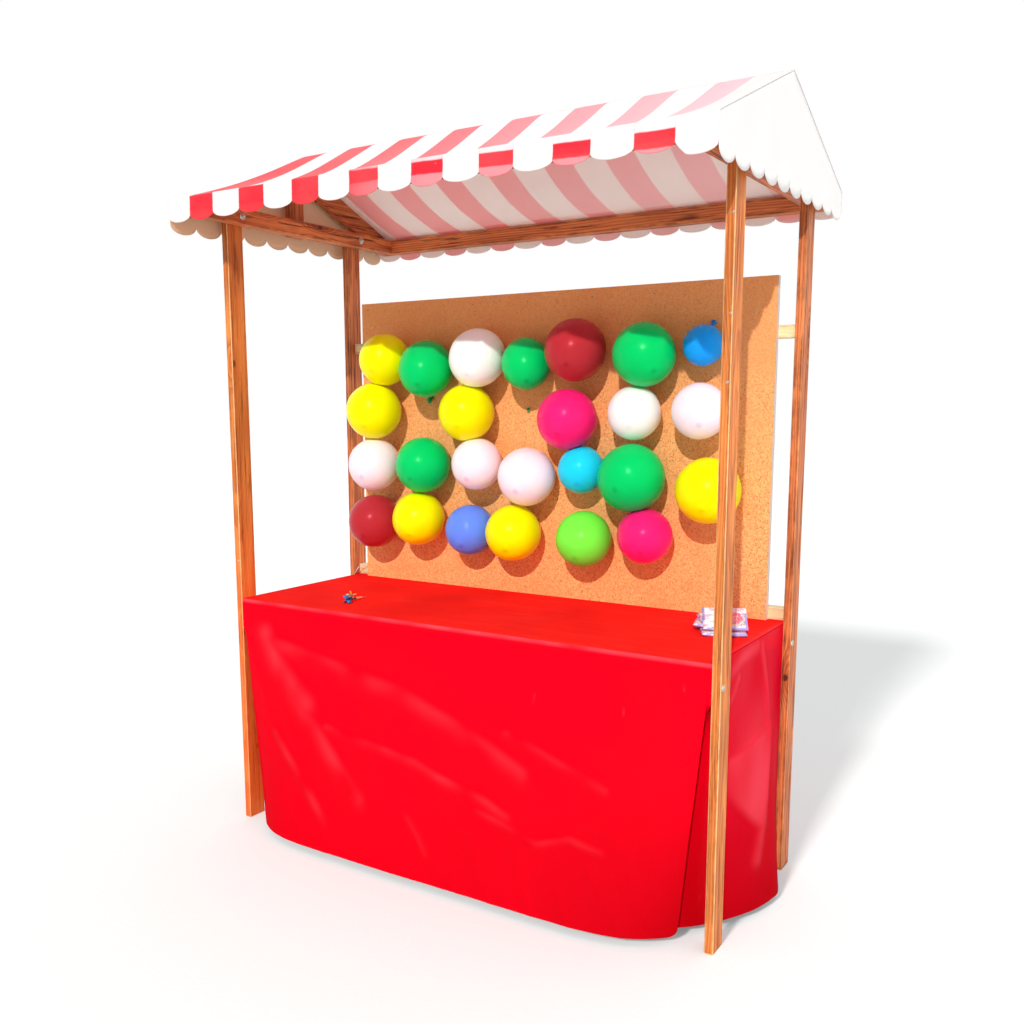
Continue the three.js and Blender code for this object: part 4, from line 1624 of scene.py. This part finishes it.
        # Painted highlights along the crests of the front panel's creases.
        shares = []
        for point in points:
            mark = 0.0
            if point.y < -self.edge and point.z < 0.91:
                worn = 0.5 + uneven(point.x * 9.0, point.z * 9.0, 5.0)
                mark = worn * max((crease.at(point.x, point.z) / crease.height) ** 2
                                  * min(0.26, 24 * crease.height) for crease in self.front_creases)
            shares.append(mark)
        self.store_sheen(sheet, shares)
        return sheet

    def side_edge(self, u: float, down: float) -> Vector:
        """A point of a side sheet between the posts, without its folds, for the right side.

        Args:
            u: Place along the sheet, from -1 at the front to 1 at the rear.
            down: Share of the way down to the hem.

        Returns:
            The point, at height 0.
        """
        below = max(0.0, (down - 0.06) / 0.94) ** 0.8
        y = u * self.side_half
        if y < self.fold_y:
            fall = (self.bulge + self.tuck) * ((self.fold_y - y) / (self.fold_y + self.side_half)) ** 2
        else:
            fall = self.bulge * ((y - self.fold_y) / (self.side_half - self.fold_y)) ** 1.15
        return Vector((self.side_out + below * (self.bulge - fall), y, 0))

    def flap_point(self, share: float, down: float, end: int) -> Vector:
        """A point of the flap that joins a side sheet to the front or rear panel inside the post.

        Args:
            share: 0 at the panel and 1 at the side sheet.
            down: Share of the way down to the hem.
            end: -1 at the front and 1 at the rear.

        Returns:
            The point, at height 0.
        """
        near = self.side_edge(float(end), down)
        start = Vector((near.x if down > 0.14 and end < 0 else 0.9996, -abs(near.y), 0))
        far = Vector((0.93 - 0.08 * down, -(self.edge - 0.0006) + 0.016 * down, 0))
        corner = Vector((1.0, -(self.edge - 0.0004), 0))
        tight = far.lerp(corner, 2 * share) if share < 0.5 else corner.lerp(start, 2 * share - 1)
        middle = (start + far) / 2 + Vector((0.008, 0.004, 0))
        a, b, c = (1 - share) ** 2, 1.6 * share * (1 - share), share ** 2
        loose = (far * a + middle * b + start * c) / (a + b + c)
        point = tight.lerp(loose, eased(clamped((down - 0.12) / 0.12)))
        return Vector((point.x, point.y if end < 0 else -point.y, 0))

    def side_sheet(self, side: int, word: str) -> Piece:
        """Makes one side sheet with its two flaps.

        Args:
            side: -1 for the left end of the counter and 1 for the right one.
            word: The same as a word.

        Returns:
            The sheet.
        """
        rows, middle, flap = 110, 90, 26
        lap = ((0.016, 0.0004), (0.004, 0.0006), (0.0012, 0.0004))
        points = []
        shares = []
        for row in range(-len(lap), rows + 1):
            down = max(0, row) / rows
            inward, rise = lap[row] if row < 0 else (0.0, 0.0)
            z = self.top + rise - (0.0016 + (self.top - 0.0016 - self.hem) * down if row >= 0 else 0.0)
            line = [self.flap_point(i / flap, down, -1) for i in range(flap)]
            line += [self.side_edge(2 * i / middle - 1, down) for i in range(middle + 1)]
            line += [self.flap_point(1 - i / flap, down, 1) for i in range(1, flap + 1)]
            for i, point in enumerate(line):
                along = math.copysign(min(abs(point.y), self.edge - 0.002), point.y) if row < 0 else point.y
                free = min(1.0, down * 5.0)
                between = max(0.0, 1 - (abs(along) / 0.31) ** 4)
                fold = self.wrinkles(along + 3.0, z, 17.0 + side)
                fold += sum(crease.at(along, z) for crease in self.side_creases)
                fold += 0.006 * self.facet(along, z)
                out = point.x - inward + free * between * fold
                points.append(Vector((side * out, along, z)))
                # Painted sheen on the side sheet: a painted reflection on the raised facet, painted
                # highlights along the creases and soft painted sheen patches.
                worn = 0.62 + 0.5 * uneven(along * 7.0, z * 5.0, 11.0)
                bands = max(crease.at(along, z) / crease.height for crease in self.side_creases)
                soft = 0.45 + uneven(along * 4.5 - z * 2.0, z * 3.5, 23.0)
                soft *= 0.26 * clamped((z - 0.30) / 0.25)
                shares.append(between * max(soft, worn * max(0.5 * self.facet(along, z), 0.55 * bands)))
        faces = grid_faces(middle + 1 + 2 * flap, rows + 1 + len(lap), flip=side > 0)
        sheet = mesh_piece(f"table_cloth_{word}", points, faces)
        self.store_sheen(sheet, shares)
        return sheet

    def build(self) -> None:
        finish = self.finish.material("red_table_cloth")
        sheet = self.long_sheet()
        dress(sheet, finish)
        declare(sheet, "red_cloth", "cloth_top", "cloth_front", "cloth_rear")
        for side, word in SIDES:
            end = self.side_sheet(side, word)
            dress(end, finish)
            declare(end, "red_cloth", f"cloth_{word}")


@dataclass
class Counter:
    """The bare counter top under the cloth."""

    board: TimberFinish = TimberFinish(
        (0.66, 0.46, 0.26), (0.45, 0.28, 0.14), (0.2, 0.1, 0.05), (0.7, 0.52, 0.34), ring_width=0.02,
        coat=0.0)
    seed: int = 71

    def build(self) -> None:
        """Gives the counter top its plywood finish."""
        finish = self.board.material("plywood_top", Axis.X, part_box("counter_top"), self.seed)
        dress(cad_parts["counter_top"], finish)
        LOG.info("counter_top: plywood")


# ---------------- the target board


@dataclass
class TargetBoard:
    """White board faced with cork, on two bare battens between the posts."""

    cork: CorkFinish = CorkFinish()
    paint: PaintFinish = PaintFinish()
    pale: TimberFinish = TimberFinish(
        (0.98, 0.86, 0.52), (0.86, 0.62, 0.30), (0.4, 0.2, 0.08), (0.98, 0.88, 0.62), coat=0.0)
    steel: MetalFinish = MetalFinish((0.40, 0.24, 0.15), (0.16, 0.08, 0.05))
    tie_path: tuple[tuple[float, float], ...] = (
        (-1.0, 0.937), (-0.991, 0.953), (-0.972, 0.973), (-0.950, 0.985), (-0.934, 0.990))
    nylon: PlasticFinish = PlasticFinish((0.62, 0.74, 0.90), 0.3)
    tie_y: float = 0.3062
    tie_radius: float = 0.0019
    nail_rows: tuple[float, ...] = (2.118, 0.962)
    nail_step: float = 0.27

    def dress(self) -> None:
        """Gives the board, the cork and the battens their finishes."""
        finishes = {
            "backing_board": self.paint.material("white_painted_board"),
            "cork_sheet_left": self.cork.material("cork_left"),
            "cork_sheet_right": self.cork.material("cork_right"),
            "batten_upper": self.pale.material("pale_batten_upper", Axis.X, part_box("batten_upper"), 41),
            "batten_lower": self.pale.material("pale_batten_lower", Axis.X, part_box("batten_lower"), 42),
        }
        for name, finish in finishes.items():
            dress(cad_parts[name], finish)
            LOG.info("%s: dressed", name)

    def nails(self) -> Piece:
        """Drives a row of small nails along the top and bottom edges of the cork.

        Returns:
            The nails as one piece.
        """
        left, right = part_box("cork_sheet_left")[0].x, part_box("cork_sheet_right")[1].x
        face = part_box("cork_sheet_left")[0].y
        draw = random.Random(5)
        heads = []
        for height in self.nail_rows:
            x = left + 0.03
            while x < right - 0.01:
                at = Vector((x + draw.uniform(-0.012, 0.012), face, height + draw.uniform(-0.006, 0.006)))
                lean = Vector((draw.uniform(-0.1, 0.1), -1, draw.uniform(-0.1, 0.1)))
                heads.append(lathe("nail", [(0.0028, 0.0), (0.0029, 0.0007), (0.0022, 0.0012), (0, 0.0014)],
                                   14, facing(lean, at)))
                x += self.nail_step * draw.uniform(0.94, 1.06)
        nails = join("board_nails", heads)
        dress(nails, self.steel.material("dark_nails"))
        return nails

    def build(self) -> None:
        """Dresses the board and drives the nails."""
        self.dress()
        declare(self.nails(), "bolt_steel")
        tie = tube("cable_tie", [Vector((x, self.tie_y, z)) for x, z in self.tie_path], self.tie_radius)
        dress(tie, self.nylon.material("pale_nylon"))
        declare(tie, "white_board")


class Latex(Enum):
    """Colours of the balloons: record slot, skin colour and the deeper colour where latex is thick."""

    YELLOW = ("latex_yellow", (0.98, 0.92, 0.001), (0.93, 0.70, 0.001))
    GREEN = ("latex_green", (0.001, 0.62, 0.145), (0.001, 0.32, 0.07))
    WHITE = ("latex_white", (0.95, 0.94, 0.93), (0.88, 0.80, 0.76))
    MAROON = ("latex_maroon", (0.46, 0.028, 0.040), (0.26, 0.005, 0.012))
    BLUE = ("latex_blue", (0.012, 0.36, 0.98), (0.008, 0.20, 0.80))
    PINK = ("latex_pink", (1.0, 0.83, 0.92), (0.97, 0.46, 0.70))
    MAGENTA = ("latex_magenta", (0.98, 0.016, 0.20), (0.82, 0.004, 0.09))
    ROYAL = ("latex_royal_blue", (0.14, 0.28, 0.98), (0.07, 0.13, 0.78))
    SKY = ("latex_sky", (0.014, 0.68, 0.98), (0.02, 0.42, 0.92))
    LIME = ("latex_lime", (0.20, 0.95, 0.07), (0.11, 0.74, 0.02))


@dataclass(frozen=True)
class Balloon:
    """One blown-up balloon: where it is pinned, how big it is and how it leans."""

    node: str
    x: float
    z: float
    radius: float
    latex: Latex
    lean: tuple[float, float, float] = (0.16, -0.86, -0.46)
    length: float = 1.07


@dataclass
class BalloonWall:
    """The balloons pinned to the cork by their necks, with the scraps of burst ones."""

    segments: int = 48
    neck_gap: float = 0.0035
    stretch: float = 1.01

    def outline(self, radius: float, length: float) -> list[tuple[float, float]]:
        """Profile of a balloon from its tip to the lip of its neck.

        Args:
            radius: Largest radius of the balloon.
            length: Its length over its width, without the neck.

        Returns:
            Pairs of radius and height.
        """
        tip = (length - 0.02) * radius
        points = [(0.0, tip + 0.0016), (0.0022, tip + 0.0012), (0.0055, tip)]
        for step in range(3, 37):
            angle = math.pi * step / 38
            pear = 1 - 0.12 * max(0.0, -math.cos(angle)) ** 1.6
            reach = length + (-0.02 if angle < math.pi / 2 else 0.03)
            points.append((radius * math.sin(angle) * pear, radius * reach * math.cos(angle)))
        throat = -(length + 0.03) * radius
        points += [
            (0.0105, throat - 0.004), (0.0062, throat - 0.009), (0.0048, throat - 0.013),
            (0.0068, throat - 0.016), (0.0066, throat - 0.020), (0.0042, throat - 0.0225),
            (0.0055, throat - 0.028), (0.0098, throat - 0.034), (0.0112, throat - 0.0345),
            (0.0104, throat - 0.0325), (0.0045, throat - 0.0275), (0.0, throat - 0.027)]
        return points

    def blow_up(self, number: int, balloon: Balloon, cork: float) -> Piece:
        """Makes one balloon, leaning on its neck and held in front of the cork.

        Args:
            number: Number of the balloon, for its name and its grain.
            balloon: Where it is and how it leans.
            cork: Y of the cork's face.

        Returns:
            The balloon.
        """
        r = balloon.radius
        shape = lathe(f"balloon_{number:02d}_{balloon.latex.name.lower()}", self.outline(r, balloon.length),
                      self.segments)
        shape.data.flip_normals()
        centre = Vector((balloon.x, cork - self.neck_gap - self.stretch * r, balloon.z))
        place = facing(balloon.lean, centre)
        back = place.inverted()
        for vertex in shape.data.vertices:
            swell = 1 + 0.012 * noise.noise(vertex.co.normalized() * 1.7 + Vector((number, 0, 0)))
            at = place @ (vertex.co * swell)
            at.y = min(at.y, cork - 0.0012)
            vertex.co = back @ at
        shape.matrix_world = place
        slot, skin, thick = balloon.latex.value
        dress(shape, LatexFinish(skin, thick, r).material(f"{slot}_{number:02d}"))
        declare(shape, slot, balloon.node)
        return shape

    def scrap(self, name: str, x: float, z: float, latex: Latex, cork: float, turn: float,
              size: float) -> Piece:
        """Makes the torn neck that a burst balloon leaves under its pin.

        Args:
            name: Name of the piece.
            x: Place of the pin across the board.
            z: Height of the pin.
            latex: Colour of the burst balloon.
            cork: Y of the cork's face.
            turn: Direction that the scrap hangs in, in radians.
            size: Its size over that of a usual neck.

        Returns:
            The scrap.
        """
        points = []
        rings = [(size * radius, size * out) for radius, out in (
            (0.0035, 0.001), (0.0052, 0.006), (0.0042, 0.011), (0.007, 0.016), (0.0115, 0.021))]
        for ring, (radius, out) in enumerate(rings):
            for step in range(18):
                angle = math.tau * step / 18
                right, up = math.cos(angle), math.sin(angle)
                torn = 1 + (0.5 * uneven(3 * right, 3 * up, turn) if ring > 2 else 0)
                lean = 0.5 * out
                points.append(Vector((
                    x + radius * torn * right + lean * math.cos(turn), cork - out * torn * 0.8,
                    z + radius * torn * up + lean * math.sin(turn))))
        faces = grid_faces(18, len(rings), closed=True)
        piece = mesh_piece(name, points, faces)
        dress(piece, PlasticFinish(latex.value[2], 0.3).material(f"{name}_latex"))
        solidify(piece, 0.0005)
        declare(piece, latex.value[0])
        return piece

    def build(self) -> None:
        """Builds every balloon and every scrap."""
        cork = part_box("cork_sheet_left")[0].y
        balloons = [Balloon(node, *row) for node, rows in BALLOONS.items() for row in rows]
        for number, balloon in enumerate(balloons, 1):
            self.blow_up(number, balloon, cork)
        for name, x, z, latex, turn, size in (("scrap_green_left", -0.545, 1.740, Latex.GREEN, -1.9, 1.3), (
                "scrap_green_middle", -0.067, 1.693, Latex.GREEN, -1.2, 0.7)):
            self.scrap(name, x, z, latex, cork, turn, size)


# ---------------- things on the counter


@dataclass
class Dart:
    """A throwing dart that rests on its barrel and on two of its fins."""

    node: str
    tip: tuple[float, float]
    heading: float
    slot: str
    flight: PlasticFinish
    shaft: PlasticFinish
    barrel: MetalFinish
    point: float = 0.030
    barrel_length: float = 0.050
    shaft_length: float = 0.038
    flight_length: float = 0.036
    barrel_radius: float = 0.0048
    fin_reach: float = 0.0185
    roll: float = 45.0

    def fin(self, turn: float) -> Piece:
        """Makes one pair of opposite fins, slightly cupped.

        Args:
            turn: Angle of the pair round the shaft, in radians.

        Returns:
            The fins.
        """
        length = self.point + self.barrel_length + self.shaft_length + self.flight_length
        front = length - self.flight_length
        outline = ((0.0022, front - 0.001), (0.007, front + 0.001), (self.fin_reach, front + 0.010),
                   (self.fin_reach, length + 0.003), (0.010, length + 0.0022), (0.0022, length - 0.003))
        points, faces = [], []
        for sign in (-1, 1):
            first = len(points)
            for reach, along in outline:
                cup = 0.0009 * (reach / self.fin_reach) ** 2
                points.append(Vector((sign * reach, cup, along)))
            middle = len(points)
            points.append(Vector((sign * 0.008, 0.0002, front + 0.014)))
            for i in range(len(outline)):
                after = first + (i + 1) % len(outline)
                face = (middle, first + i, after)
                faces.append(face if sign > 0 else tuple(reversed(face)))
        spun = Matrix.Rotation(turn, 4, "Z")
        blade = mesh_piece("fin", [spun @ point for point in points], faces)
        solidify(blade, 0.0005)
        return blade

    def build(self, rest: float) -> Piece:
        """Builds the dart lying on a surface.

        Args:
            rest: Height of the surface.

        Returns:
            The dart as one piece.
        """
        shoulder = self.point + 0.012
        grip_end = self.point + self.barrel_length - 0.006
        needle = lathe("needle", [(0, 0), (0.0004, 0.002), (0.0011, 0.009), (0.0011, self.point + 0.001)])
        profile = [(0.0011, self.point), (0.0034, self.point + 0.003), (self.barrel_radius, shoulder)]
        for ring in range(6):
            along = shoulder + (grip_end - shoulder) * (ring + 0.5) / 6
            profile += [(self.barrel_radius, along - 0.0011), (self.barrel_radius - 0.0006, along - 0.0005),
                        (self.barrel_radius - 0.0006, along + 0.0005), (self.barrel_radius, along + 0.0011)]
        profile += [(self.barrel_radius, grip_end), (0.0024, grip_end + 0.006), (0, grip_end + 0.006)]
        barrel = lathe("barrel", profile)
        end = self.point + self.barrel_length + self.shaft_length + self.flight_length
        shaft = lathe("shaft", [
            (0, grip_end + 0.004), (0.0026, grip_end + 0.004), (0.0028, grip_end + 0.007),
            (0.0021, grip_end + 0.01), (0.0021, end - 0.004), (0.0014, end - 0.002), (0, end - 0.002)])
        roll = math.radians(self.roll)
        fins = [self.fin(roll), self.fin(roll + math.pi / 2)]
        steel = MetalFinish((0.7, 0.7, 0.7), (0.45, 0.42, 0.4), 0.22).material(f"{self.node}_needle")
        dress(needle, steel)
        dress(barrel, self.barrel.material(f"{self.node}_barrel"))
        dress(shaft, self.shaft.material(f"{self.node}_shaft"))
        flight = self.flight.material(f"{self.node}_flight")
        for fin in fins:
            dress(fin, flight)
        dart = join(f"{self.node}_dressed", [needle, barrel, shaft, *fins])
        drop = (self.fin_reach + 0.0005) * max(math.sin(roll), math.cos(roll))
        reach = end - self.flight_length + 0.008 - shoulder
        pitch = math.asin((drop - self.barrel_radius) / reach)
        lift = self.barrel_radius - shoulder * math.sin(pitch) + TOUCH
        lay = (Matrix.Translation((*self.tip, rest + lift)) @ turned(self.heading, "Z")
               @ Matrix.Rotation(pitch, 4, "X") @ Matrix.Rotation(-math.pi / 2, 4, "X"))
        dart.matrix_world = lay
        return dart


@dataclass
class PacketPile:
    """An untidy pile of gift packets, with one leaning against its front."""

    size: tuple[float, float, float] = (0.150, 0.112, 0.0145)
    place: tuple[float, float] = (0.868, 0.043)
    yaw: float = 25.0
    layers: tuple[tuple[float, float, int, float], ...] = (
        (0.004, -0.022, 0, 1.0), (-0.006, 0.094, 0, -2.0), (-0.014, 0.046, 1, -9.0), (0.0, 0.060, 2, 4.0))
    leaning: tuple[float, float, float] = (0.008, -0.0143, 0.0445)
    tilt: float = 29.0

    def packet(self, number: int) -> Piece:
        """Makes one pillow-shaped packet with a flat crimped rim.

        Args:
            number: Which packet from the bottom, from 0.

        Returns:
            The packet, centred on its own origin with its underside at height 0.
        """
        length, width, thick = self.size
        thin = 0.0006
        columns, rows = 41, 31
        points = []
        for layer in (0, 1):
            for row in range(rows):
                for column in range(columns):
                    u, v = 2 * column / (columns - 1) - 1, 2 * row / (rows - 1) - 1
                    edge = min(1.0, (1 - max(abs(u) ** 1.3, abs(v) ** 1.5)) / 0.22)
                    swell = 1 - (1 - max(0.0, edge)) ** 2.4
                    crinkle = 0.0009 * uneven(u * 3.1, v * 2.7, number + layer)
                    crinkle += 0.0008 * abs(uneven(u * 8.0, v * 6.0, number + 7))
                    middle = 0.45 * thick
                    half = thin + (0.47 * thick - thin) * swell
                    z = middle + (half if layer else -min(middle, half)) + (crinkle * swell if layer else 0)
                    points.append(Vector((u * length / 2, v * width / 2, z)))
        count = columns * rows
        faces = grid_faces(columns, rows, flip=True) + grid_faces(columns, rows, first=count)
        rim = (list(range(columns)) + [columns * row + columns - 1 for row in range(1, rows)]
               + [columns * (rows - 1) + i for i in range(columns - 2, -1, -1)]
               + [columns * row for row in range(rows - 2, 0, -1)])
        for a, b in zip(rim, rim[1:] + rim[:1]):
            faces.append((a, b, b + count, a + count))
        return mesh_piece(f"packet_{number + 1}", points, faces)

    def build(self, rest: float) -> None:
        """Stacks the packets on a surface.

        Args:
            rest: Height of the surface.
        """
        finish = PacketFinish(*self.size[:2]).material("packet_print")
        pile = Matrix.Translation((*self.place, rest + TOUCH)) @ turned(self.yaw, "Z")
        lays = [Matrix.Translation((x, y, level * (self.size[2] + TOUCH))) @ turned(turn, "Z")
                for x, y, level, turn in self.layers]
        lays.append(Matrix.Translation(self.leaning) @ turned(self.tilt, "X"))
        for number, lay in enumerate(lays):
            packet = self.packet(number)
            dress(packet, finish)
            packet.matrix_world = pile @ lay
            declare(packet, "packet_paper", "prize_packets")


@dataclass
class Props:
    """The darts that lie ready on the counter and the pile of packets at its right end."""

    def build(self) -> None:
        """Builds both darts and the packets."""
        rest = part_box("cloth_top")[1].z
        blue = PlasticFinish((0.04, 0.30, 0.72), through=0.2)
        yellow = PlasticFinish((0.98, 0.66, 0.01), through=0.2)
        navy = PlasticFinish((0.01, 0.02, 0.14))
        brass = MetalFinish((0.96, 0.74, 0.50), (0.85, 0.55, 0.30), 0.42)
        for dart in (Dart("dart_blue", (-0.588, -0.100), 188, "dart_blue_plastic", blue, navy, brass),
                     Dart("dart_yellow", (-0.701, -0.101), 232, "dart_yellow_plastic", yellow, navy, brass,
                          roll=22.0)):
            declare(dart.build(rest), dart.slot, dart.node)
        PacketPile().build(rest)


# ---------------- the studio


@dataclass
class Studio:
    """Pale floor, a soft sun, a pale sky and the camera."""

    key_travel: Point = (-0.311, 1.0, -0.582)
    key_strength: float = 2.5
    floor_travel: Point = (-0.03, 1.0, -0.6)
    floor_strength: float = 3.9
    camera_at: Point = (2.0595, -3.2165, 1.6994)
    yaw: float = 0.5649
    pitch: float = 0.1492
    roll: float = 0.0016
    lens: float = 35.54
    shift: tuple[float, float] = (0.0059, 0.0454)

    def seen(self, graph: Graph) -> Socket:
        """1 for rays from the camera and for those that metal and glass send on, and 0 for the rest."""
        rays = graph.add("LightPath").outputs
        return graph.larger(
            rays["Is Camera Ray"], graph.larger(rays["Is Glossy Ray"], rays["Is Transmission Ray"]))

    def floor(self) -> Piece:
        """Lays a plain pale floor.

        Returns:
            The floor.
        """
        size = 30.0
        ground = mesh_piece(
            "floor", [(-size, -size, 0), (size, -size, 0), (size, size, 0), (-size, size, 0)],
            [(0, 1, 2, 3)])
        graph = Surface("pale_floor")
        speck = graph.noise(graph.place(), 60.0, 3.0)
        graph.show(
            {"Base Color": graph.mix(graph.remap(speck, 0.3, 0.7), (0.584, 0.598, 0.60),
                                     (0.602, 0.614, 0.612)), "Roughness": 0.9,
             "Emission Color": (0.97, 1.0, 1.01), "Emission Strength": graph.times(self.seen(graph), 0.21)})
        dress(ground, graph.made)
        return ground

    def sky(self) -> None:
        """Lights the scene with a soft pale sky, brighter overhead and to the right and the back."""
        world = bpy.data.worlds.new("sky")
        world.use_nodes = True
        world.node_tree.nodes.clear()
        graph = Graph(world.node_tree)
        towards = graph.add("TexCoord").outputs["Generated"]
        up = graph.split(towards)[2]
        level = graph.remap(up, -0.05, 0.9, 0.66, 0.92)
        side = graph.vector("DOT_PRODUCT", towards, (0.80, 0.60, 0.0))
        level = graph.times(level, graph.remap(side, -0.9, 0.9, 0.44, 1.5))
        strength = graph.larger(level, self.seen(graph))
        background = graph.add("Background", {"Color": (1.0, 1.0, 1.0, 1.0), "Strength": strength})
        output = graph.add("OutputWorld")
        graph.feed(output.inputs["Surface"], background.outputs[0])
        bpy.context.scene.world = world

    def sun(self, name: str, travel: Point, strength: float, angle: float) -> Piece:
        """Hangs a distant light.

        Args:
            name: Name of the light.
            travel: Direction that its rays travel in.
            strength: Strength of the light.
            angle: Size of the source in degrees.

        Returns:
            The light.
        """
        lamp = bpy.data.lights.new(name, "SUN")
        lamp.energy = strength
        lamp.angle = math.radians(angle)
        lamp.color = (1.0, 0.975, 0.94)
        light = bpy.data.objects.new(name, lamp)
        light.rotation_mode = "QUATERNION"
        light.rotation_quaternion = Vector(travel).to_track_quat("-Z", "Y")
        light.location = -6.0 * Vector(travel).normalized()
        bpy.context.scene.collection.objects.link(light)
        return light

    def suns(self, ground: Piece) -> None:
        """Lights the stall from the front right and the floor from straight ahead.

        Args:
            ground: The floor, which only the second sun lights.
        """
        key = self.sun("key_sun", self.key_travel, self.key_strength, 0.9)
        low = self.sun("floor_sun", self.floor_travel, self.floor_strength, 7.0)
        for light, state in ((key, "EXCLUDE"), (low, "INCLUDE")):
            lit = bpy.data.collections.new(f"lit_by_{light.name}")
            lit.objects.link(ground)
            lit.collection_objects[0].light_linking.link_state = state
            light.light_linking.receiver_collection = lit

    def camera(self) -> None:
        """Stands the camera at the viewing place."""
        data = bpy.data.cameras.new("camera")
        data.sensor_width = 36.0
        data.lens = self.lens
        data.shift_x, data.shift_y = self.shift
        data.clip_end = 200.0
        stand = bpy.data.objects.new("camera", data)
        level = math.cos(self.pitch)
        ahead = Vector((-math.sin(self.yaw) * level, math.cos(self.yaw) * level, -math.sin(self.pitch)))
        right = Vector((math.cos(self.yaw), math.sin(self.yaw), 0.0))
        right = Quaternion(ahead, self.roll) @ right
        up = right.cross(ahead)
        facing_back = Matrix((right, up, -ahead)).transposed().to_4x4()
        stand.matrix_world = Matrix.Translation(self.camera_at) @ facing_back
        bpy.context.scene.collection.objects.link(stand)
        bpy.context.scene.camera = stand

    def build(self) -> None:
        """Sets up the floor, the lights and the camera."""
        ground = self.floor()
        self.sky()
        self.suns(ground)
        self.camera()
        bpy.context.scene.view_settings.view_transform = "Standard"


# ---------------- the stall

BALLOONS = {
    "balloons_far_left": (
        (-0.714, 1.897, 0.108, Latex.YELLOW, (0.10, -0.90, -0.42)),
        (-0.771, 1.683, 0.118, Latex.YELLOW, (0.22, -0.84, -0.50)),
        (-0.778, 1.452, 0.112, Latex.PINK, (0.12, -0.90, -0.40)),
    ),
    "balloon_green_upper_left": (
        (-0.494, 1.855, 0.1125, Latex.GREEN, (0.267, -0.827, -0.50), 1.18),
    ),
    "balloons_upper_middle": (
        (-0.237, 1.893, 0.113, Latex.WHITE, (0.15, -0.84, -0.52), 1.17),
        (-0.020, 1.866, 0.0965, Latex.GREEN, (0.40, -0.66, -0.60), 1.18),
        (-0.292, 1.676, 0.113, Latex.YELLOW, (0.20, -0.88, -0.42)),
        (-0.249, 1.469, 0.104, Latex.PINK, (0.10, -0.86, -0.50)),
    ),
    "balloon_maroon_upper": (
        (0.208, 1.910, 0.116, Latex.MAROON, (0.165, -0.88, -0.44), 1.12),
    ),
    "balloons_right_column": (
        (0.489, 1.886, 0.115, Latex.GREEN, (0.60, -0.62, -0.51), 1.08),
        (0.447, 1.676, 0.099, Latex.WHITE, (0.20, -0.86, -0.46)),
        (0.452, 1.439, 0.125, Latex.GREEN, (-0.03, -0.96, -0.26)),
        (0.500, 1.223, 0.103, Latex.MAGENTA, (0.25, -0.84, -0.48)),
    ),
    "balloon_blue_small": (
        (0.698, 1.913, 0.0722, Latex.BLUE, (-0.08, -0.66, -0.75), 1.06),
    ),
    "balloon_pink_right": (
        (0.701, 1.683, 0.100, Latex.PINK, (0.32, -0.826, -0.466)),
    ),
    "balloons_magenta_and_sky": (
        (0.174, 1.652, 0.115, Latex.MAGENTA, (0.14, -0.88, -0.44)),
        (0.224, 1.460, 0.090, Latex.SKY, (0.22, -0.84, -0.50)),
    ),
    "balloons_left_pair": (
        (-0.513, 1.458, 0.115, Latex.GREEN, (0.08, -0.90, -0.42)),
        (-0.543, 1.230, 0.112, Latex.YELLOW, (0.18, -0.86, -0.48)),
    ),
    "balloons_low_middle": (
        (-0.006, 1.426, 0.114, Latex.PINK, (0.12, -0.90, -0.40)),
        (-0.070, 1.199, 0.112, Latex.YELLOW, (0.22, -0.86, -0.46)),
    ),
    "balloon_yellow_right": (
        (0.748, 1.404, 0.117, Latex.YELLOW, (0.16, -0.86, -0.48)),
    ),
    "balloon_maroon_low": (
        (-0.781, 1.206, 0.114, Latex.MAROON, (0.14, -0.88, -0.44)),
    ),
    "balloon_royal_blue": (
        (-0.284, 1.197, 0.103, Latex.ROYAL, (0.16, -0.86, -0.48)),
    ),
    "balloon_lime": (
        (0.246, 1.196, 0.107, Latex.LIME, (0.106, -0.84, -0.53)),
    ),
}


def main() -> None:
    """Builds the stall piece by piece, then the studio round it."""
    logging.basicConfig(level=logging.INFO, format="%(name)s %(message)s")
    parts = (TimberFrame(), Counter(), CounterCloth(), Canopy(), TargetBoard(), BalloonWall(), Props(),
             Studio())
    for part in parts:
        part.build()


if __name__ == "__main__":
    main()
